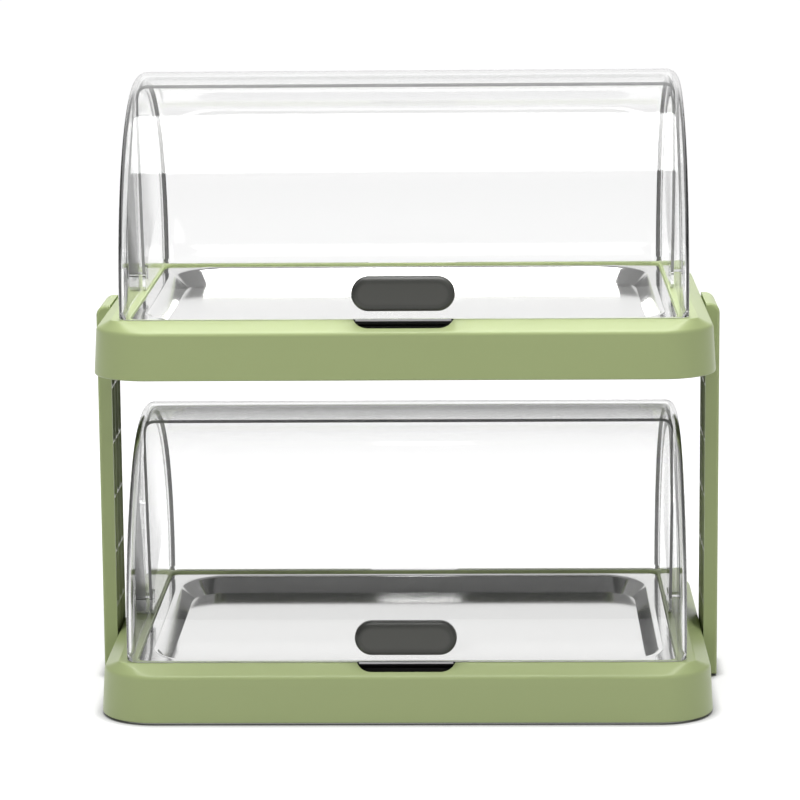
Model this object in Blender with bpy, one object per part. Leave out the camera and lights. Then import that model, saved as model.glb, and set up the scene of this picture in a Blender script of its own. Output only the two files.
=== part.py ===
"""Two-tier chilled display case with clear roll-top covers.

Two like base frames stand one above the other between a pair of side posts. Each frame
holds a black inner tub with two cold packs, a stainless food tray over them, and a cover
made of two nested clear shells that turn about the same pair of pins at mid-depth.
Metres, +Z up, front towards -Y, origin on the table under the middle of the case.
"""
import math

import bmesh
import bpy
from mathutils import Matrix, Vector

# General
FIT_GAP = 0.0003  # gap between pieces that rest against each other
CUT_OVERRUN = 0.004  # how far a cutter reaches past the faces it opens
CORNER_STEPS = 8  # facets in each rounded corner seen from above
ROUND_STEPS = 2  # facets in a small softened edge
COVER_ROUND_STEPS = 3  # facets where a cover's curved wall turns into its sides
COVER_STEP = math.radians(4)  # facet angle of the covers' curve
ROUND_STEP = math.radians(15)  # facet angle of a small rounded outline
MERGE_DISTANCE = 0.00002  # points closer than this are one point
TURN_STEPS = 12  # facets round a pin, hole or boss
SHARP_ANGLE = math.radians(32)
SOFT_EDGE_SHARE = 0.45  # most of an edge that one softened corner may take
BEVEL_SHAPE_SHARE = 0.5  # a bevel with a round profile

# Base frame, heights measured from its own foot
BASE_WIDTH = 0.440
BASE_DEPTH = 0.324
BASE_CORNER_RADIUS = 0.040
BASE_DRAFT = 0.002
BASE_WALL = 0.0025
BASE_FOOT_ROUND = 0.0012
RIM_HEIGHT = 0.0331
RIM_ROUND = 0.0022
BEVEL_RUN = 0.012
LEDGE_HEIGHT = 0.0408
LEDGE_CORNER_RADIUS = 0.008
LEDGE_ROUND = 0.0008
REBATE_DEPTH = 0.0026
LIP_WIDTH = 0.006
LIP_CORNER_RADIUS = 0.014
NOTCH_WIDTH = 0.071
NOTCH_REACH = 0.0082  # how far the notch stands out in front of the closed cover
NOTCH_BACK = 0.005  # how far it reaches in behind the cover's front face
NOTCH_CORNER_RADIUS = 0.013
NOTCH_BACK_RADIUS = 0.002
NOTCH_DEPTH = 0.0115  # clear depth under the ledge, through its skin
COLUMN_RADIUS = 0.007
COLUMN_WALL_GAP = 0.0016

# Rubber feet under the lower frame
FOOT_SHOW = 0.0015  # height of the foot under the frame
FOOT_RADIUS = 0.0062
FOOT_STEM_RADIUS = 0.0026
FOOT_STEM_LENGTH = 0.009
FOOT_EDGE = 0.0003

# Covers: the front shell is the outer one, the rear shell nests inside it
PIVOT_RISE = 0.0137  # pivot axis above the ledge
COVER_SEAT_GAP = 0.0004
COVER_SIDE_SETBACK = 0.006
COVER_FRONT_SETBACK = 0.0006
FRONT_WALL = 0.0025
REAR_WALL = 0.0022
NEST_GAP = 0.0012
COVER_EDGE_ROUND = 0.009
COVER_TAIL = 0.009  # how far each shell runs past the pivot
REAR_LEAD_ANGLE = math.radians(14)  # the rear shell starts this far ahead of the top
TIER_CLEARANCE = 0.0445  # free height over a closed cover
COVER_TAB_DEPTH = 0.0015  # how far the tab under the handle reaches into the notch
COVER_TAB_CLEARANCE = 0.002  # tab to each end of the notch
COVER_TAB_INSET = 0.0002  # tab behind the front wall's own faces
COVER_TAB_OVERLAP = 0.001  # tab inside the front wall, above its edge

# Pivots
PIN_RADIUS = 0.002
PIN_HOLE_CLEARANCE = 0.0003
PIN_HEAD_RADIUS = 0.0052
PIN_INNER_HEAD = 0.0009
PIN_OUTER_HEAD = 0.0013
PIN_EDGE = 0.0003
BRACKET_COVER_GAP = 0.0006
BRACKET_THICKNESS = 0.0048
BRACKET_STEM_WIDTH = 0.011
BRACKET_HEAD_RADIUS = 0.0068
BRACKET_FOOT_WIDTH = 0.020
BRACKET_FOOT_HEIGHT = 0.0022

# Handle on the front shell
HANDLE_WIDTH = 0.0725
HANDLE_HEIGHT = 0.0245
HANDLE_PROJECTION = 0.0075
HANDLE_EDGE_ROUND = 0.0042
HANDLE_RISE = 0.0188  # middle of the handle above the ledge
HANDLE_SCREW_SPACING = 0.044
HANDLE_SCREW_RADIUS = 0.00125
HANDLE_SCREW_LENGTH = 0.0068
HANDLE_SCREW_HEAD_RADIUS = 0.0027
HANDLE_SCREW_HEAD_HEIGHT = 0.0015
HANDLE_SCREW_CLEARANCE = 0.0003

# Food tray
TRAY_SIDE_CLEARANCE = 0.0022  # tray edge to the rear shell's inner face
TRAY_END_CLEARANCE = 0.002
TRAY_FIT = 0.0008  # tray edge to the rebate
TRAY_SHEET = 0.0008
TRAY_FLANGE = 0.009
TRAY_CORNER_RADIUS = 0.009
TRAY_DEPTH = 0.012
TRAY_SLOPE_RUN = 0.0096
TRAY_BRIM_RADIUS = 0.036
TRAY_FLOOR_RADIUS = 0.027
TRAY_BEND_ROUND = 0.0022

# Inner tub and cold packs
TUB_WALL = 0.0015
TUB_LIP_INSET = 0.0001
TUB_MOUTH_INSET = 0.0022
TUB_WALL_LEAN = 0.004
TUB_FLANGE_REACH = 0.0085
TUB_FLANGE_CORNER_RADIUS = 0.016
TUB_MOUTH_CORNER_RADIUS = 0.012
TUB_FLOOR_HEIGHT = 0.0035
TUB_EAR_WIDTH = 0.014
TUB_EAR_REACH = 0.0065
TUB_EAR_SKIM = 0.0001
TUB_SCREW_INSET = 0.006
TUB_SCREW_PLACE = 0.070
TUB_SCREW_BOSS_RADIUS = 0.004
TUB_SCREW_RADIUS = 0.00115
TUB_SCREW_HEAD_RADIUS = 0.003
TUB_SCREW_HEAD_HEIGHT = 0.0018
TUB_SCREW_COVER = 0.001  # plastic left over the screw's pilot hole
PACK_HEIGHT = 0.016
PACK_EDGE_GAP = 0.006
PACK_MIDDLE_GAP = 0.006
PACK_CORNER_RADIUS = 0.018
PACK_EDGE_ROUND = 0.004
PACK_PANEL_INSET = 0.014
PACK_PANEL_DEPTH = 0.0012

# Side posts
POST_THICKNESS = 0.0103
POST_DEPTH = 0.058
POST_SEAT_INSET = 0.0014  # flat cut into the frame's side for the post
POST_SEAT_CLEARANCE = 0.0005
POST_TOP_RISE = 0.0004  # post top above the upper rim
POST_TOP_RADIUS = 0.0075
POST_EDGE_ROUND = 0.0022
POST_SKIN = 0.0022
POST_RIB = 0.0016
POST_FIRST_RIB = 0.0531
POST_RIB_PITCH = 0.0415
LAST_BAY_SHARE = 0.25  # least share of the pitch left over the top rib
POST_SCREW_HEIGHT = 0.015
POST_SCREW_RADIUS = 0.0015
POST_SCREW_LENGTH = 0.0105
POST_SCREW_HEAD_RADIUS = 0.0032
POST_SCREW_HEAD_HEIGHT = 0.002
POST_BOSS_RADIUS = 0.0036
SCREW_HOLE_CLEARANCE = 0.0003
SCREW_EDGE = 0.0003
SCREW_SLOT_WIDTH = 0.0008
SCREW_SLOT_DEPTH = 0.0007

# Places worked out from the sizes above
RIM_X = BASE_WIDTH / 2 - BASE_DRAFT
RIM_Y = BASE_DEPTH / 2 - BASE_DRAFT
LEDGE_X = RIM_X - BEVEL_RUN
LEDGE_Y = RIM_Y - BEVEL_RUN
BEVEL_ANGLE = math.atan2(LEDGE_HEIGHT - RIM_HEIGHT, BEVEL_RUN)
PIVOT_HEIGHT = LEDGE_HEIGHT + PIVOT_RISE
COVER_DROP = PIVOT_RISE - COVER_SEAT_GAP  # cover edge below the pivot axis
FRONT_X = LEDGE_X - COVER_SIDE_SETBACK
COVER_REACH = LEDGE_Y - COVER_FRONT_SETBACK
FRONT_RADIUS = math.hypot(COVER_REACH, COVER_DROP)
REAR_X = FRONT_X - FRONT_WALL - NEST_GAP
REAR_RADIUS = FRONT_RADIUS - FRONT_WALL - NEST_GAP
REAR_REACH = math.sqrt((REAR_RADIUS - REAR_WALL) ** 2 - COVER_DROP**2)
TIER_PITCH = PIVOT_HEIGHT + FRONT_RADIUS + TIER_CLEARANCE
TRAY_X = REAR_X - REAR_WALL - TRAY_SIDE_CLEARANCE
TRAY_Y = REAR_REACH - TRAY_END_CLEARANCE
REBATE_X = TRAY_X + TRAY_FIT
REBATE_Y = TRAY_Y + TRAY_FIT
REBATE_RADIUS = TRAY_CORNER_RADIUS + TRAY_FIT
REBATE_FLOOR = LEDGE_HEIGHT - REBATE_DEPTH
LIP_X = REBATE_X - LIP_WIDTH
LIP_Y = REBATE_Y - LIP_WIDTH
LIP_BOTTOM = REBATE_FLOOR - BASE_WALL
TUB_TOP = LIP_BOTTOM - FIT_GAP
TUB_SCREW_X = LEDGE_X - TUB_SCREW_INSET
POST_SEAT_X = BASE_WIDTH / 2 - POST_SEAT_INSET
POST_INNER_X = POST_SEAT_X + FIT_GAP
POST_OUTER_X = POST_INNER_X + POST_THICKNESS
POST_LENGTH = TIER_PITCH + RIM_HEIGHT + POST_TOP_RISE
POST_BAY = (POST_DEPTH - POST_RIB) / 3  # two upright ribs part the post into three bays
POST_RIB_PLACE = POST_BAY / 2
POST_SCREW_PLACE = POST_BAY
HANDLE_ANGLE = math.asin((HANDLE_RISE - PIVOT_RISE) / FRONT_RADIUS)

GREEN = (0.33, 0.40, 0.19, 1)
BLACK = (0.015, 0.015, 0.015, 1)
STEEL = (0.72, 0.72, 0.71, 1)
CLEAR = (0.94, 0.96, 0.96, 1)
DARK_GREY = (0.045, 0.045, 0.042, 1)
PACK_BLUE = (0.10, 0.28, 0.55, 1)
ZINC = (0.55, 0.55, 0.54, 1)
RUBBER = (0.02, 0.02, 0.02, 1)


def clear_scene():
    for old in list(bpy.data.objects):
        bpy.data.objects.remove(old, do_unlink=True)


def finish_material(name, colour, roughness, metallic=0, alpha=1):
    """One Principled material for one piece."""
    material = bpy.data.materials.new(name)
    material.use_nodes = True
    shader = material.node_tree.nodes["Principled BSDF"]
    shader.inputs["Base Color"].default_value = colour
    shader.inputs["Roughness"].default_value = roughness
    shader.inputs["Metallic"].default_value = metallic
    shader.inputs["Alpha"].default_value = alpha
    material.diffuse_color = colour
    return material


def green_plastic(name):
    return finish_material(name, GREEN, 0.45)


def clear_plastic(name):
    return finish_material(name, CLEAR, 0.05, alpha=0.35)


def black_plastic(name):
    return finish_material(name, BLACK, 0.6)


def grey_plastic(name):
    return finish_material(name, DARK_GREY, 0.4)


def stainless(name):
    return finish_material(name, STEEL, 0.25, metallic=1)


def blue_plastic(name):
    return finish_material(name, PACK_BLUE, 0.4)


def zinc_plate(name):
    return finish_material(name, ZINC, 0.35, metallic=1)


def black_rubber(name):
    return finish_material(name, RUBBER, 0.8)


def add_empty(name, place, parent=None):
    empty = bpy.data.objects.new(name, None)
    empty.parent = parent
    empty.location = place
    bpy.context.scene.collection.objects.link(empty)
    return empty


def add_object(name, bm, parent, finish=None):
    """Puts a closed bmesh in the scene, smooth except at its real edges."""
    bmesh.ops.remove_doubles(bm, verts=bm.verts, dist=MERGE_DISTANCE)
    bmesh.ops.recalc_face_normals(bm, faces=bm.faces)
    mesh = bpy.data.meshes.new(name)
    bm.to_mesh(mesh)
    bm.free()
    mesh.shade_smooth()
    mesh.set_sharp_from_angle(angle=SHARP_ANGLE)
    piece = bpy.data.objects.new(name, mesh)
    piece.parent = parent
    if finish:
        mesh.materials.append(finish(name))
    bpy.context.scene.collection.objects.link(piece)
    return piece


def combine(piece, name, bm, operation):
    """Cuts a tool shape from a piece, or joins it on, with a Boolean."""
    tool = add_object(f"{piece.name}_{name}", bm, piece.parent)
    tool.hide_render = True
    tool.display_type = "WIRE"
    boolean = piece.modifiers.new(name, "BOOLEAN")
    boolean.operation = operation
    boolean.solver = "EXACT"
    boolean.object = tool


def cut(piece, name, bm):
    combine(piece, name, bm, "DIFFERENCE")


def join(piece, name, bm):
    combine(piece, name, bm, "UNION")


def rounded_rectangle(half_x, half_y, radius, height):
    """The corner points of a rounded rectangle seen from above, anticlockwise."""
    points = []
    for quarter, (side_x, side_y) in enumerate(((1, 1), (-1, 1), (-1, -1), (1, -1))):
        centre = Vector((side_x * (half_x - radius), side_y * (half_y - radius), height))
        for step in range(CORNER_STEPS + 1):
            angle = (quarter + step / CORNER_STEPS) * math.pi / 2
            points.append(centre + radius * Vector((math.cos(angle), math.sin(angle), 0)))
    return points


def soften(sections, place, size):
    """Replaces one corner of a section list by a short curve of the given size."""
    before, corner = sections[place - 1], sections[place]
    after = sections[(place + 1) % len(sections)]

    def towards(other):
        distance = math.hypot(other[0] - corner[0], other[3] - corner[3])
        share = min(size / distance, SOFT_EDGE_SHARE)
        return [here + share * (there - here) for here, there in zip(corner, other)]

    start, end = towards(before), towards(after)
    curve = []
    for step in range(ROUND_STEPS + 1):
        t = step / ROUND_STEPS
        weights = ((1 - t) ** 2, 2 * t * (1 - t), t**2)
        curve.append([sum(w * p[i] for w, p in zip(weights, (start, corner, end))) for i in range(4)])
    return sections[:place] + curve + sections[place + 1 :]


def loft(sections, closed=False):
    """A solid through rounded rectangles (half_x, half_y, radius, height), in order.

    A closed loft joins its last section to the first, as in a frame. An open one is
    capped at both ends, as in a tray, whose first section is its inner floor.
    """
    bm = bmesh.new()
    rings = [[bm.verts.new(p) for p in rounded_rectangle(*section)] for section in sections]
    pairs = list(zip(rings, rings[1:]))
    if closed:
        pairs.append((rings[-1], rings[0]))
    else:
        bm.faces.new(rings[0])
        bm.faces.new(rings[-1])
    for lower, upper in pairs:
        for i in range(len(lower)):
            j = (i + 1) % len(lower)
            bm.faces.new((lower[i], lower[j], upper[j], upper[i]))
    return bm


def prism(outline, start, end):
    """A solid of the outline's shape, from the point start to end.

    The outline's points are offsets square to that run: (y, z) for a run along X,
    (x, z) along Y and (x, y) along Z.
    """
    start, end = Vector(start), Vector(end)
    run = end - start
    axis = max(range(3), key=lambda i: abs(run[i]))
    across = [i for i in range(3) if i != axis]
    bm = bmesh.new()
    rings = []
    for origin in (start, end):
        ring = []
        for point in outline:
            corner = origin.copy()
            for i, offset in zip(across, point):
                corner[i] += offset
            ring.append(bm.verts.new(corner))
        rings.append(ring)
    bm.faces.new(rings[0])
    bm.faces.new(rings[1])
    for i in range(len(outline)):
        j = (i + 1) % len(outline)
        bm.faces.new((rings[0][i], rings[0][j], rings[1][j], rings[1][i]))
    return bm


def block(low, high):
    """A plain box between two corners."""
    across = ((0, 0), (high[0] - low[0], 0), (high[0] - low[0], high[1] - low[1]), (0, high[1] - low[1]))
    return prism(across, low, (low[0], low[1], high[2]))


def turned(profile, place=(0, 0, 0), direction=(0, 0, 1)):
    """A turned solid from (distance along, radius) points, both ends on the axis."""
    bm = bmesh.new()
    rings = []
    for along, radius in profile:
        if radius == 0:
            rings.append([bm.verts.new((0, 0, along))])
            continue
        ring = []
        for step in range(TURN_STEPS):
            angle = 2 * math.pi * step / TURN_STEPS
            ring.append(bm.verts.new((radius * math.cos(angle), radius * math.sin(angle), along)))
        rings.append(ring)
    for lower, upper in zip(rings, rings[1:]):
        for i in range(TURN_STEPS):
            j = (i + 1) % TURN_STEPS
            if len(lower) == 1:
                bm.faces.new((lower[0], upper[i], upper[j]))
            elif len(upper) == 1:
                bm.faces.new((lower[i], upper[0], lower[j]))
            else:
                bm.faces.new((lower[i], lower[j], upper[j], upper[i]))
    turn = Vector(direction).to_track_quat("Z", "Y").to_matrix().to_4x4()
    bmesh.ops.transform(bm, matrix=Matrix.Translation(place) @ turn, verts=bm.verts)
    return bm


def rod(start, end, radius):
    """A plain round bar or a cutter for a round hole."""
    run = Vector(end) - Vector(start)
    return turned(((0, 0), (0, radius), (run.length, radius), (run.length, 0)), start, run)


def round_edges(bm, edges, size, steps=ROUND_STEPS):
    """Rounds some edges of a bmesh by the given size."""
    bmesh.ops.recalc_face_normals(bm, faces=bm.faces)
    bmesh.ops.bevel(
        bm,
        geom=edges,
        offset=size,
        segments=steps,
        affect="EDGES",
        profile=BEVEL_SHAPE_SHARE,
    )


def gather(shapes):
    """Puts several shapes that don't meet into one bmesh."""
    whole = bmesh.new()
    for shape in shapes:
        mesh = bpy.data.meshes.new("shape")
        shape.to_mesh(mesh)
        shape.free()
        whole.from_mesh(mesh)
        bpy.data.meshes.remove(mesh)
    return whole


def arc(radius, start, end, centre=(0, 0), facet=ROUND_STEP):
    """Points of an arc, angles measured from straight up and positive towards the rear."""
    steps = max(1, math.ceil(abs(end - start) / facet))
    angles = [start + (end - start) * i / steps for i in range(steps + 1)]
    return [(centre[0] + radius * math.sin(a), centre[1] + radius * math.cos(a)) for a in angles]


def screw_profile(radius, length, head_radius, head_height):
    """A pan-head screw from its head's top, at zero, to its flat tip."""
    return (
        (0, 0),
        (0, head_radius - SCREW_EDGE),
        (SCREW_EDGE, head_radius),
        (head_height, head_radius),
        (head_height, radius),
        (length, radius),
        (length, 0),
    )


def pan_head_screw(name, place, direction, sizes, parent):
    """A slotted pan-head screw: sizes are radius, length, head radius and head height."""
    screw = add_object(name, turned(screw_profile(*sizes), place, direction), parent, zinc_plate)
    head_radius = sizes[2]
    width = SCREW_SLOT_WIDTH / 2
    upright = abs(direction[2]) > abs(direction[0])
    deep_x, deep_z = (width, SCREW_SLOT_DEPTH) if upright else (SCREW_SLOT_DEPTH, width)
    slot = Vector((deep_x, head_radius + CUT_OVERRUN, deep_z))
    cut(screw, "slot", block(Vector(place) - slot, Vector(place) + slot))


def base_sections():
    """The frame's cross-section, from its foot up the outside and down the inside."""
    wall_x, wall_y = RIM_X - BASE_WALL, RIM_Y - BASE_WALL
    wall_radius = BASE_CORNER_RADIUS - BASE_DRAFT - BASE_WALL
    under = BASE_WALL * math.tan(BEVEL_ANGLE / 2)
    wall_top = RIM_HEIGHT + BASE_WALL * (math.tan(BEVEL_ANGLE) - 1 / math.cos(BEVEL_ANGLE))
    ledge_bottom = LEDGE_HEIGHT - BASE_WALL
    lip_back = (REBATE_X + BASE_WALL, REBATE_Y + BASE_WALL, REBATE_RADIUS + BASE_WALL)
    sections = [
        (BASE_WIDTH / 2, BASE_DEPTH / 2, BASE_CORNER_RADIUS, 0),
        (RIM_X, RIM_Y, BASE_CORNER_RADIUS - BASE_DRAFT, RIM_HEIGHT),
        (LEDGE_X, LEDGE_Y, LEDGE_CORNER_RADIUS, LEDGE_HEIGHT),
        (REBATE_X, REBATE_Y, REBATE_RADIUS, LEDGE_HEIGHT),
        (REBATE_X, REBATE_Y, REBATE_RADIUS, REBATE_FLOOR),
        (LIP_X, LIP_Y, LIP_CORNER_RADIUS, REBATE_FLOOR),
        (LIP_X, LIP_Y, LIP_CORNER_RADIUS, LIP_BOTTOM),
        (*lip_back, LIP_BOTTOM),
        (*lip_back, ledge_bottom),
        (LEDGE_X - under, LEDGE_Y - under, LEDGE_CORNER_RADIUS - under, ledge_bottom),
        (wall_x, wall_y, wall_radius, wall_top),
        (wall_x, wall_y, wall_radius, 0),
    ]
    sections = soften(sections, 3, LEDGE_ROUND)
    sections = soften(sections, 2, LEDGE_ROUND)
    sections = soften(sections, 1, RIM_ROUND)
    return soften(sections, 0, BASE_FOOT_ROUND)


def column_places():
    """Middles of the four corner columns that take the rubber feet."""
    corner_x = BASE_WIDTH / 2 - BASE_CORNER_RADIUS
    corner_y = BASE_DEPTH / 2 - BASE_CORNER_RADIUS
    inner_radius = BASE_CORNER_RADIUS - BASE_DRAFT - BASE_WALL
    diagonal = (inner_radius - COLUMN_RADIUS - COLUMN_WALL_GAP) / math.sqrt(2)
    return [
        (side_x * (corner_x + diagonal), side_y * (corner_y + diagonal))
        for side_x in (-1, 1)
        for side_y in (-1, 1)
    ]


def tub_screw_places():
    return [
        (side_x * TUB_SCREW_X, side_y * TUB_SCREW_PLACE) for side_x in (-1, 1) for side_y in (-1, 1)
    ]


def notch_outline(side):
    """Plan of the finger notch, wide corners away from the case; side is -1 at the front."""
    outer = COVER_REACH + NOTCH_REACH
    inner = COVER_REACH - NOTCH_BACK
    half = NOTCH_WIDTH / 2
    quarter = math.pi / 2
    back = NOTCH_BACK_RADIUS
    reach = min(NOTCH_CORNER_RADIUS, outer - inner - back)
    points = arc(reach, 0, quarter, (half - reach, outer - reach))
    points += arc(back, quarter, 2 * quarter, (half - back, inner + back))
    points += [(-x, y) for x, y in reversed(points)]
    return [(x, side * y) for x, y in points]


def make_base_frame(name, parent):
    frame = add_object(name, loft(base_sections(), closed=True), parent, green_plastic)
    skin_middle = LEDGE_HEIGHT - BASE_WALL / 2
    columns = [rod((x, y, 0), (x, y, skin_middle), COLUMN_RADIUS) for x, y in column_places()]
    join(frame, "columns", gather(columns))
    bosses = [
        rod((x, y, LIP_BOTTOM), (x, y, skin_middle), TUB_SCREW_BOSS_RADIUS)
        for x, y in tub_screw_places()
    ]
    join(frame, "bosses", gather(bosses))
    low, high = LEDGE_HEIGHT - NOTCH_DEPTH, LEDGE_HEIGHT + CUT_OVERRUN
    notches = [prism(notch_outline(side), (0, 0, low), (0, 0, high)) for side in (-1, 1)]
    cut(frame, "notches", gather(notches))
    half = POST_DEPTH / 2 + POST_SEAT_CLEARANCE
    outer = BASE_WIDTH / 2 + CUT_OVERRUN
    seats = [
        block((POST_SEAT_X, -half, -CUT_OVERRUN), (outer, half, LEDGE_HEIGHT)),
        block((-outer, -half, -CUT_OVERRUN), (-POST_SEAT_X, half, LEDGE_HEIGHT)),
    ]
    cut(frame, "post_seats", gather(seats))
    pilot = TUB_SCREW_RADIUS + SCREW_HOLE_CLEARANCE
    holes = [
        rod((x, y, LIP_BOTTOM - CUT_OVERRUN), (x, y, LEDGE_HEIGHT - TUB_SCREW_COVER), pilot)
        for x, y in tub_screw_places()
    ]
    stem = FOOT_STEM_RADIUS + FIT_GAP
    stem_top = FOOT_STEM_LENGTH + FIT_GAP
    holes += [rod((x, y, -CUT_OVERRUN), (x, y, stem_top), stem) for x, y in column_places()]
    cut(frame, "holes", gather(holes))
    radius = POST_SCREW_RADIUS + SCREW_HOLE_CLEARANCE
    inner = RIM_X - BASE_WALL - CUT_OVERRUN
    post_holes = [
        rod((side * inner, y, POST_SCREW_HEIGHT), (side * outer, y, POST_SCREW_HEIGHT), radius)
        for side in (-1, 1)
        for y in (-POST_SCREW_PLACE, POST_SCREW_PLACE)
    ]
    cut(frame, "post_holes", gather(post_holes))


def make_tub(name, parent):
    """The black inner tub that holds the cold packs under the food tray."""
    mouth_x, mouth_y = LIP_X - TUB_MOUTH_INSET, LIP_Y - TUB_MOUTH_INSET
    flange_x, flange_y = LIP_X + TUB_FLANGE_REACH, LIP_Y + TUB_FLANGE_REACH
    flange_bottom = TUB_TOP - TUB_WALL
    floor_top = TUB_FLOOR_HEIGHT + TUB_WALL
    mouth, floor = TUB_MOUTH_CORNER_RADIUS, TUB_MOUTH_CORNER_RADIUS + TUB_WALL
    lean = TUB_WALL_LEAN
    sections = [
        (mouth_x - lean, mouth_y - lean, mouth, floor_top),
        (mouth_x, mouth_y, mouth, TUB_TOP),
        (flange_x, flange_y, TUB_FLANGE_CORNER_RADIUS, TUB_TOP),
        (flange_x, flange_y, TUB_FLANGE_CORNER_RADIUS, flange_bottom),
        (mouth_x + TUB_WALL, mouth_y + TUB_WALL, floor, flange_bottom),
        (mouth_x + TUB_WALL - lean, mouth_y + TUB_WALL - lean, floor, TUB_FLOOR_HEIGHT),
    ]
    tub = add_object(name, loft(sections), parent, black_plastic)
    inner = mouth_x + TUB_WALL + TUB_LIP_INSET
    outer = TUB_SCREW_X + TUB_EAR_REACH
    half = TUB_EAR_WIDTH / 2
    low, high = flange_bottom + TUB_EAR_SKIM, TUB_TOP - TUB_EAR_SKIM
    ears = []
    for side in (-1, 1):
        near, far = sorted((side * inner, side * outer))
        for y in (-TUB_SCREW_PLACE, TUB_SCREW_PLACE):
            ears.append(block((near, y - half, low), (far, y + half, high)))
    join(tub, "ears", gather(ears))
    radius = TUB_SCREW_RADIUS + SCREW_HOLE_CLEARANCE
    holes = [
        rod((x, y, low - CUT_OVERRUN), (x, y, high + CUT_OVERRUN), radius) for x, y in tub_screw_places()
    ]
    cut(tub, "holes", gather(holes))


def make_tub_screws(prefix, parent):
    head_top = TUB_TOP - TUB_WALL + TUB_EAR_SKIM - FIT_GAP - TUB_SCREW_HEAD_HEIGHT
    length = LEDGE_HEIGHT - TUB_SCREW_COVER - FIT_GAP - head_top
    sizes = (TUB_SCREW_RADIUS, length, TUB_SCREW_HEAD_RADIUS, TUB_SCREW_HEAD_HEIGHT)
    for number, (x, y) in enumerate(tub_screw_places(), 1):
        pan_head_screw(f"{prefix}tub_screw_{number}", (x, y, head_top), (0, 0, 1), sizes, parent)


def make_cold_packs(prefix, parent):
    floor_top = TUB_FLOOR_HEIGHT + TUB_WALL
    room_x = LIP_X - TUB_MOUTH_INSET - TUB_WALL_LEAN - PACK_EDGE_GAP
    half_y = LIP_Y - TUB_MOUTH_INSET - TUB_WALL_LEAN - PACK_EDGE_GAP
    half_x = (room_x - PACK_MIDDLE_GAP / 2) / 2
    bottom = floor_top + FIT_GAP
    top = bottom + PACK_HEIGHT
    panel_x, panel_y = half_x - PACK_PANEL_INSET, half_y - PACK_PANEL_INSET
    panel_radius = max(PACK_CORNER_RADIUS - PACK_PANEL_INSET, PACK_EDGE_ROUND)
    panel = top - PACK_PANEL_DEPTH
    sections = [
        (half_x, half_y, PACK_CORNER_RADIUS, bottom),
        (half_x, half_y, PACK_CORNER_RADIUS, top),
        (panel_x + PACK_PANEL_DEPTH, panel_y + PACK_PANEL_DEPTH, panel_radius, top),
        (panel_x, panel_y, panel_radius, panel),
    ]
    sections = soften(sections, 1, PACK_EDGE_ROUND)
    sections.insert(0, (half_x - PACK_EDGE_ROUND, half_y - PACK_EDGE_ROUND, PACK_CORNER_RADIUS, bottom))
    sections[1] = (half_x, half_y, PACK_CORNER_RADIUS, bottom + PACK_EDGE_ROUND)
    for side, word in ((-1, "left"), (1, "right")):
        pack = add_object(f"{prefix}cold_pack_{word}", loft(sections), parent, blue_plastic)
        pack.location = (side * (half_x + PACK_MIDDLE_GAP / 2), 0, 0)


def make_food_tray(name, parent):
    """The stainless tray; its origin is the middle of its flange's underside."""
    brim_x, brim_y = TRAY_X - TRAY_FLANGE, TRAY_Y - TRAY_FLANGE
    floor_x, floor_y = brim_x - TRAY_SLOPE_RUN, brim_y - TRAY_SLOPE_RUN
    slope = math.atan2(TRAY_DEPTH, TRAY_SLOPE_RUN)
    under = TRAY_SHEET * math.tan(slope / 2)
    floor_top = TRAY_SHEET - TRAY_DEPTH
    sections = [
        (floor_x, floor_y, TRAY_FLOOR_RADIUS, floor_top),
        (brim_x, brim_y, TRAY_BRIM_RADIUS, TRAY_SHEET),
        (TRAY_X, TRAY_Y, TRAY_CORNER_RADIUS, TRAY_SHEET),
        (TRAY_X, TRAY_Y, TRAY_CORNER_RADIUS, 0),
        (brim_x + under, brim_y + under, TRAY_BRIM_RADIUS + under, 0),
        (floor_x + under, floor_y + under, TRAY_FLOOR_RADIUS + under, floor_top - TRAY_SHEET),
    ]
    sections = soften(sections, 4, TRAY_BEND_ROUND)
    sections = soften(sections, 1, TRAY_BEND_ROUND)
    tray = add_object(name, loft(sections), parent, stainless)
    tray.location = (0, 0, REBATE_FLOOR + FIT_GAP)


def shell_outline(radius, reach_angle, side):
    """Side view of a cover shell about the pivot; side is -1 for the front shell.

    The shell's lower edge is level, its heel is round about the pivot so that it can
    turn on the ledge, and its other edge rises behind the pivot to reach_angle.
    """
    quarter = math.pi / 2
    low_angle = quarter + math.asin(COVER_DROP / radius)
    curve = arc(radius, low_angle, -reach_angle, facet=COVER_STEP)
    heel_angle = math.asin(COVER_TAIL / COVER_DROP)
    heel = arc(COVER_DROP, 2 * quarter + heel_angle, 2 * quarter)
    shoulder = [(-COVER_TAIL, 0)]
    points = curve + shoulder + heel
    return [(side * y, z) for y, z in points]


def hollow_outline(radius, side):
    """Side view of the space inside a shell, open below and behind."""
    quarter = math.pi / 2
    curve = arc(radius, quarter + math.asin(COVER_DROP / radius), -quarter, facet=COVER_STEP)
    low = -COVER_DROP - CUT_OVERRUN
    points = [(curve[0][0], low)] + curve + [(-radius, low)]
    return [(side * y, z) for y, z in points]


def soften_shell_edges(bm, half_x, size):
    """Rounds the edges where the curved wall meets the two flat sides."""
    rounded = []
    for edge in bm.edges:
        first, second = edge.verts
        on_side = abs(abs(first.co.x) - half_x) < FIT_GAP and abs(first.co.x - second.co.x) < FIT_GAP
        curved = all(math.hypot(v.co.y, v.co.z) > COVER_REACH - COVER_DROP for v in edge.verts)
        steps = abs(math.hypot(first.co.y, first.co.z) - math.hypot(second.co.y, second.co.z))
        if on_side and curved and steps < FIT_GAP:
            rounded.append(edge)
    round_edges(bm, rounded, size, COVER_ROUND_STEPS)


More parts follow.
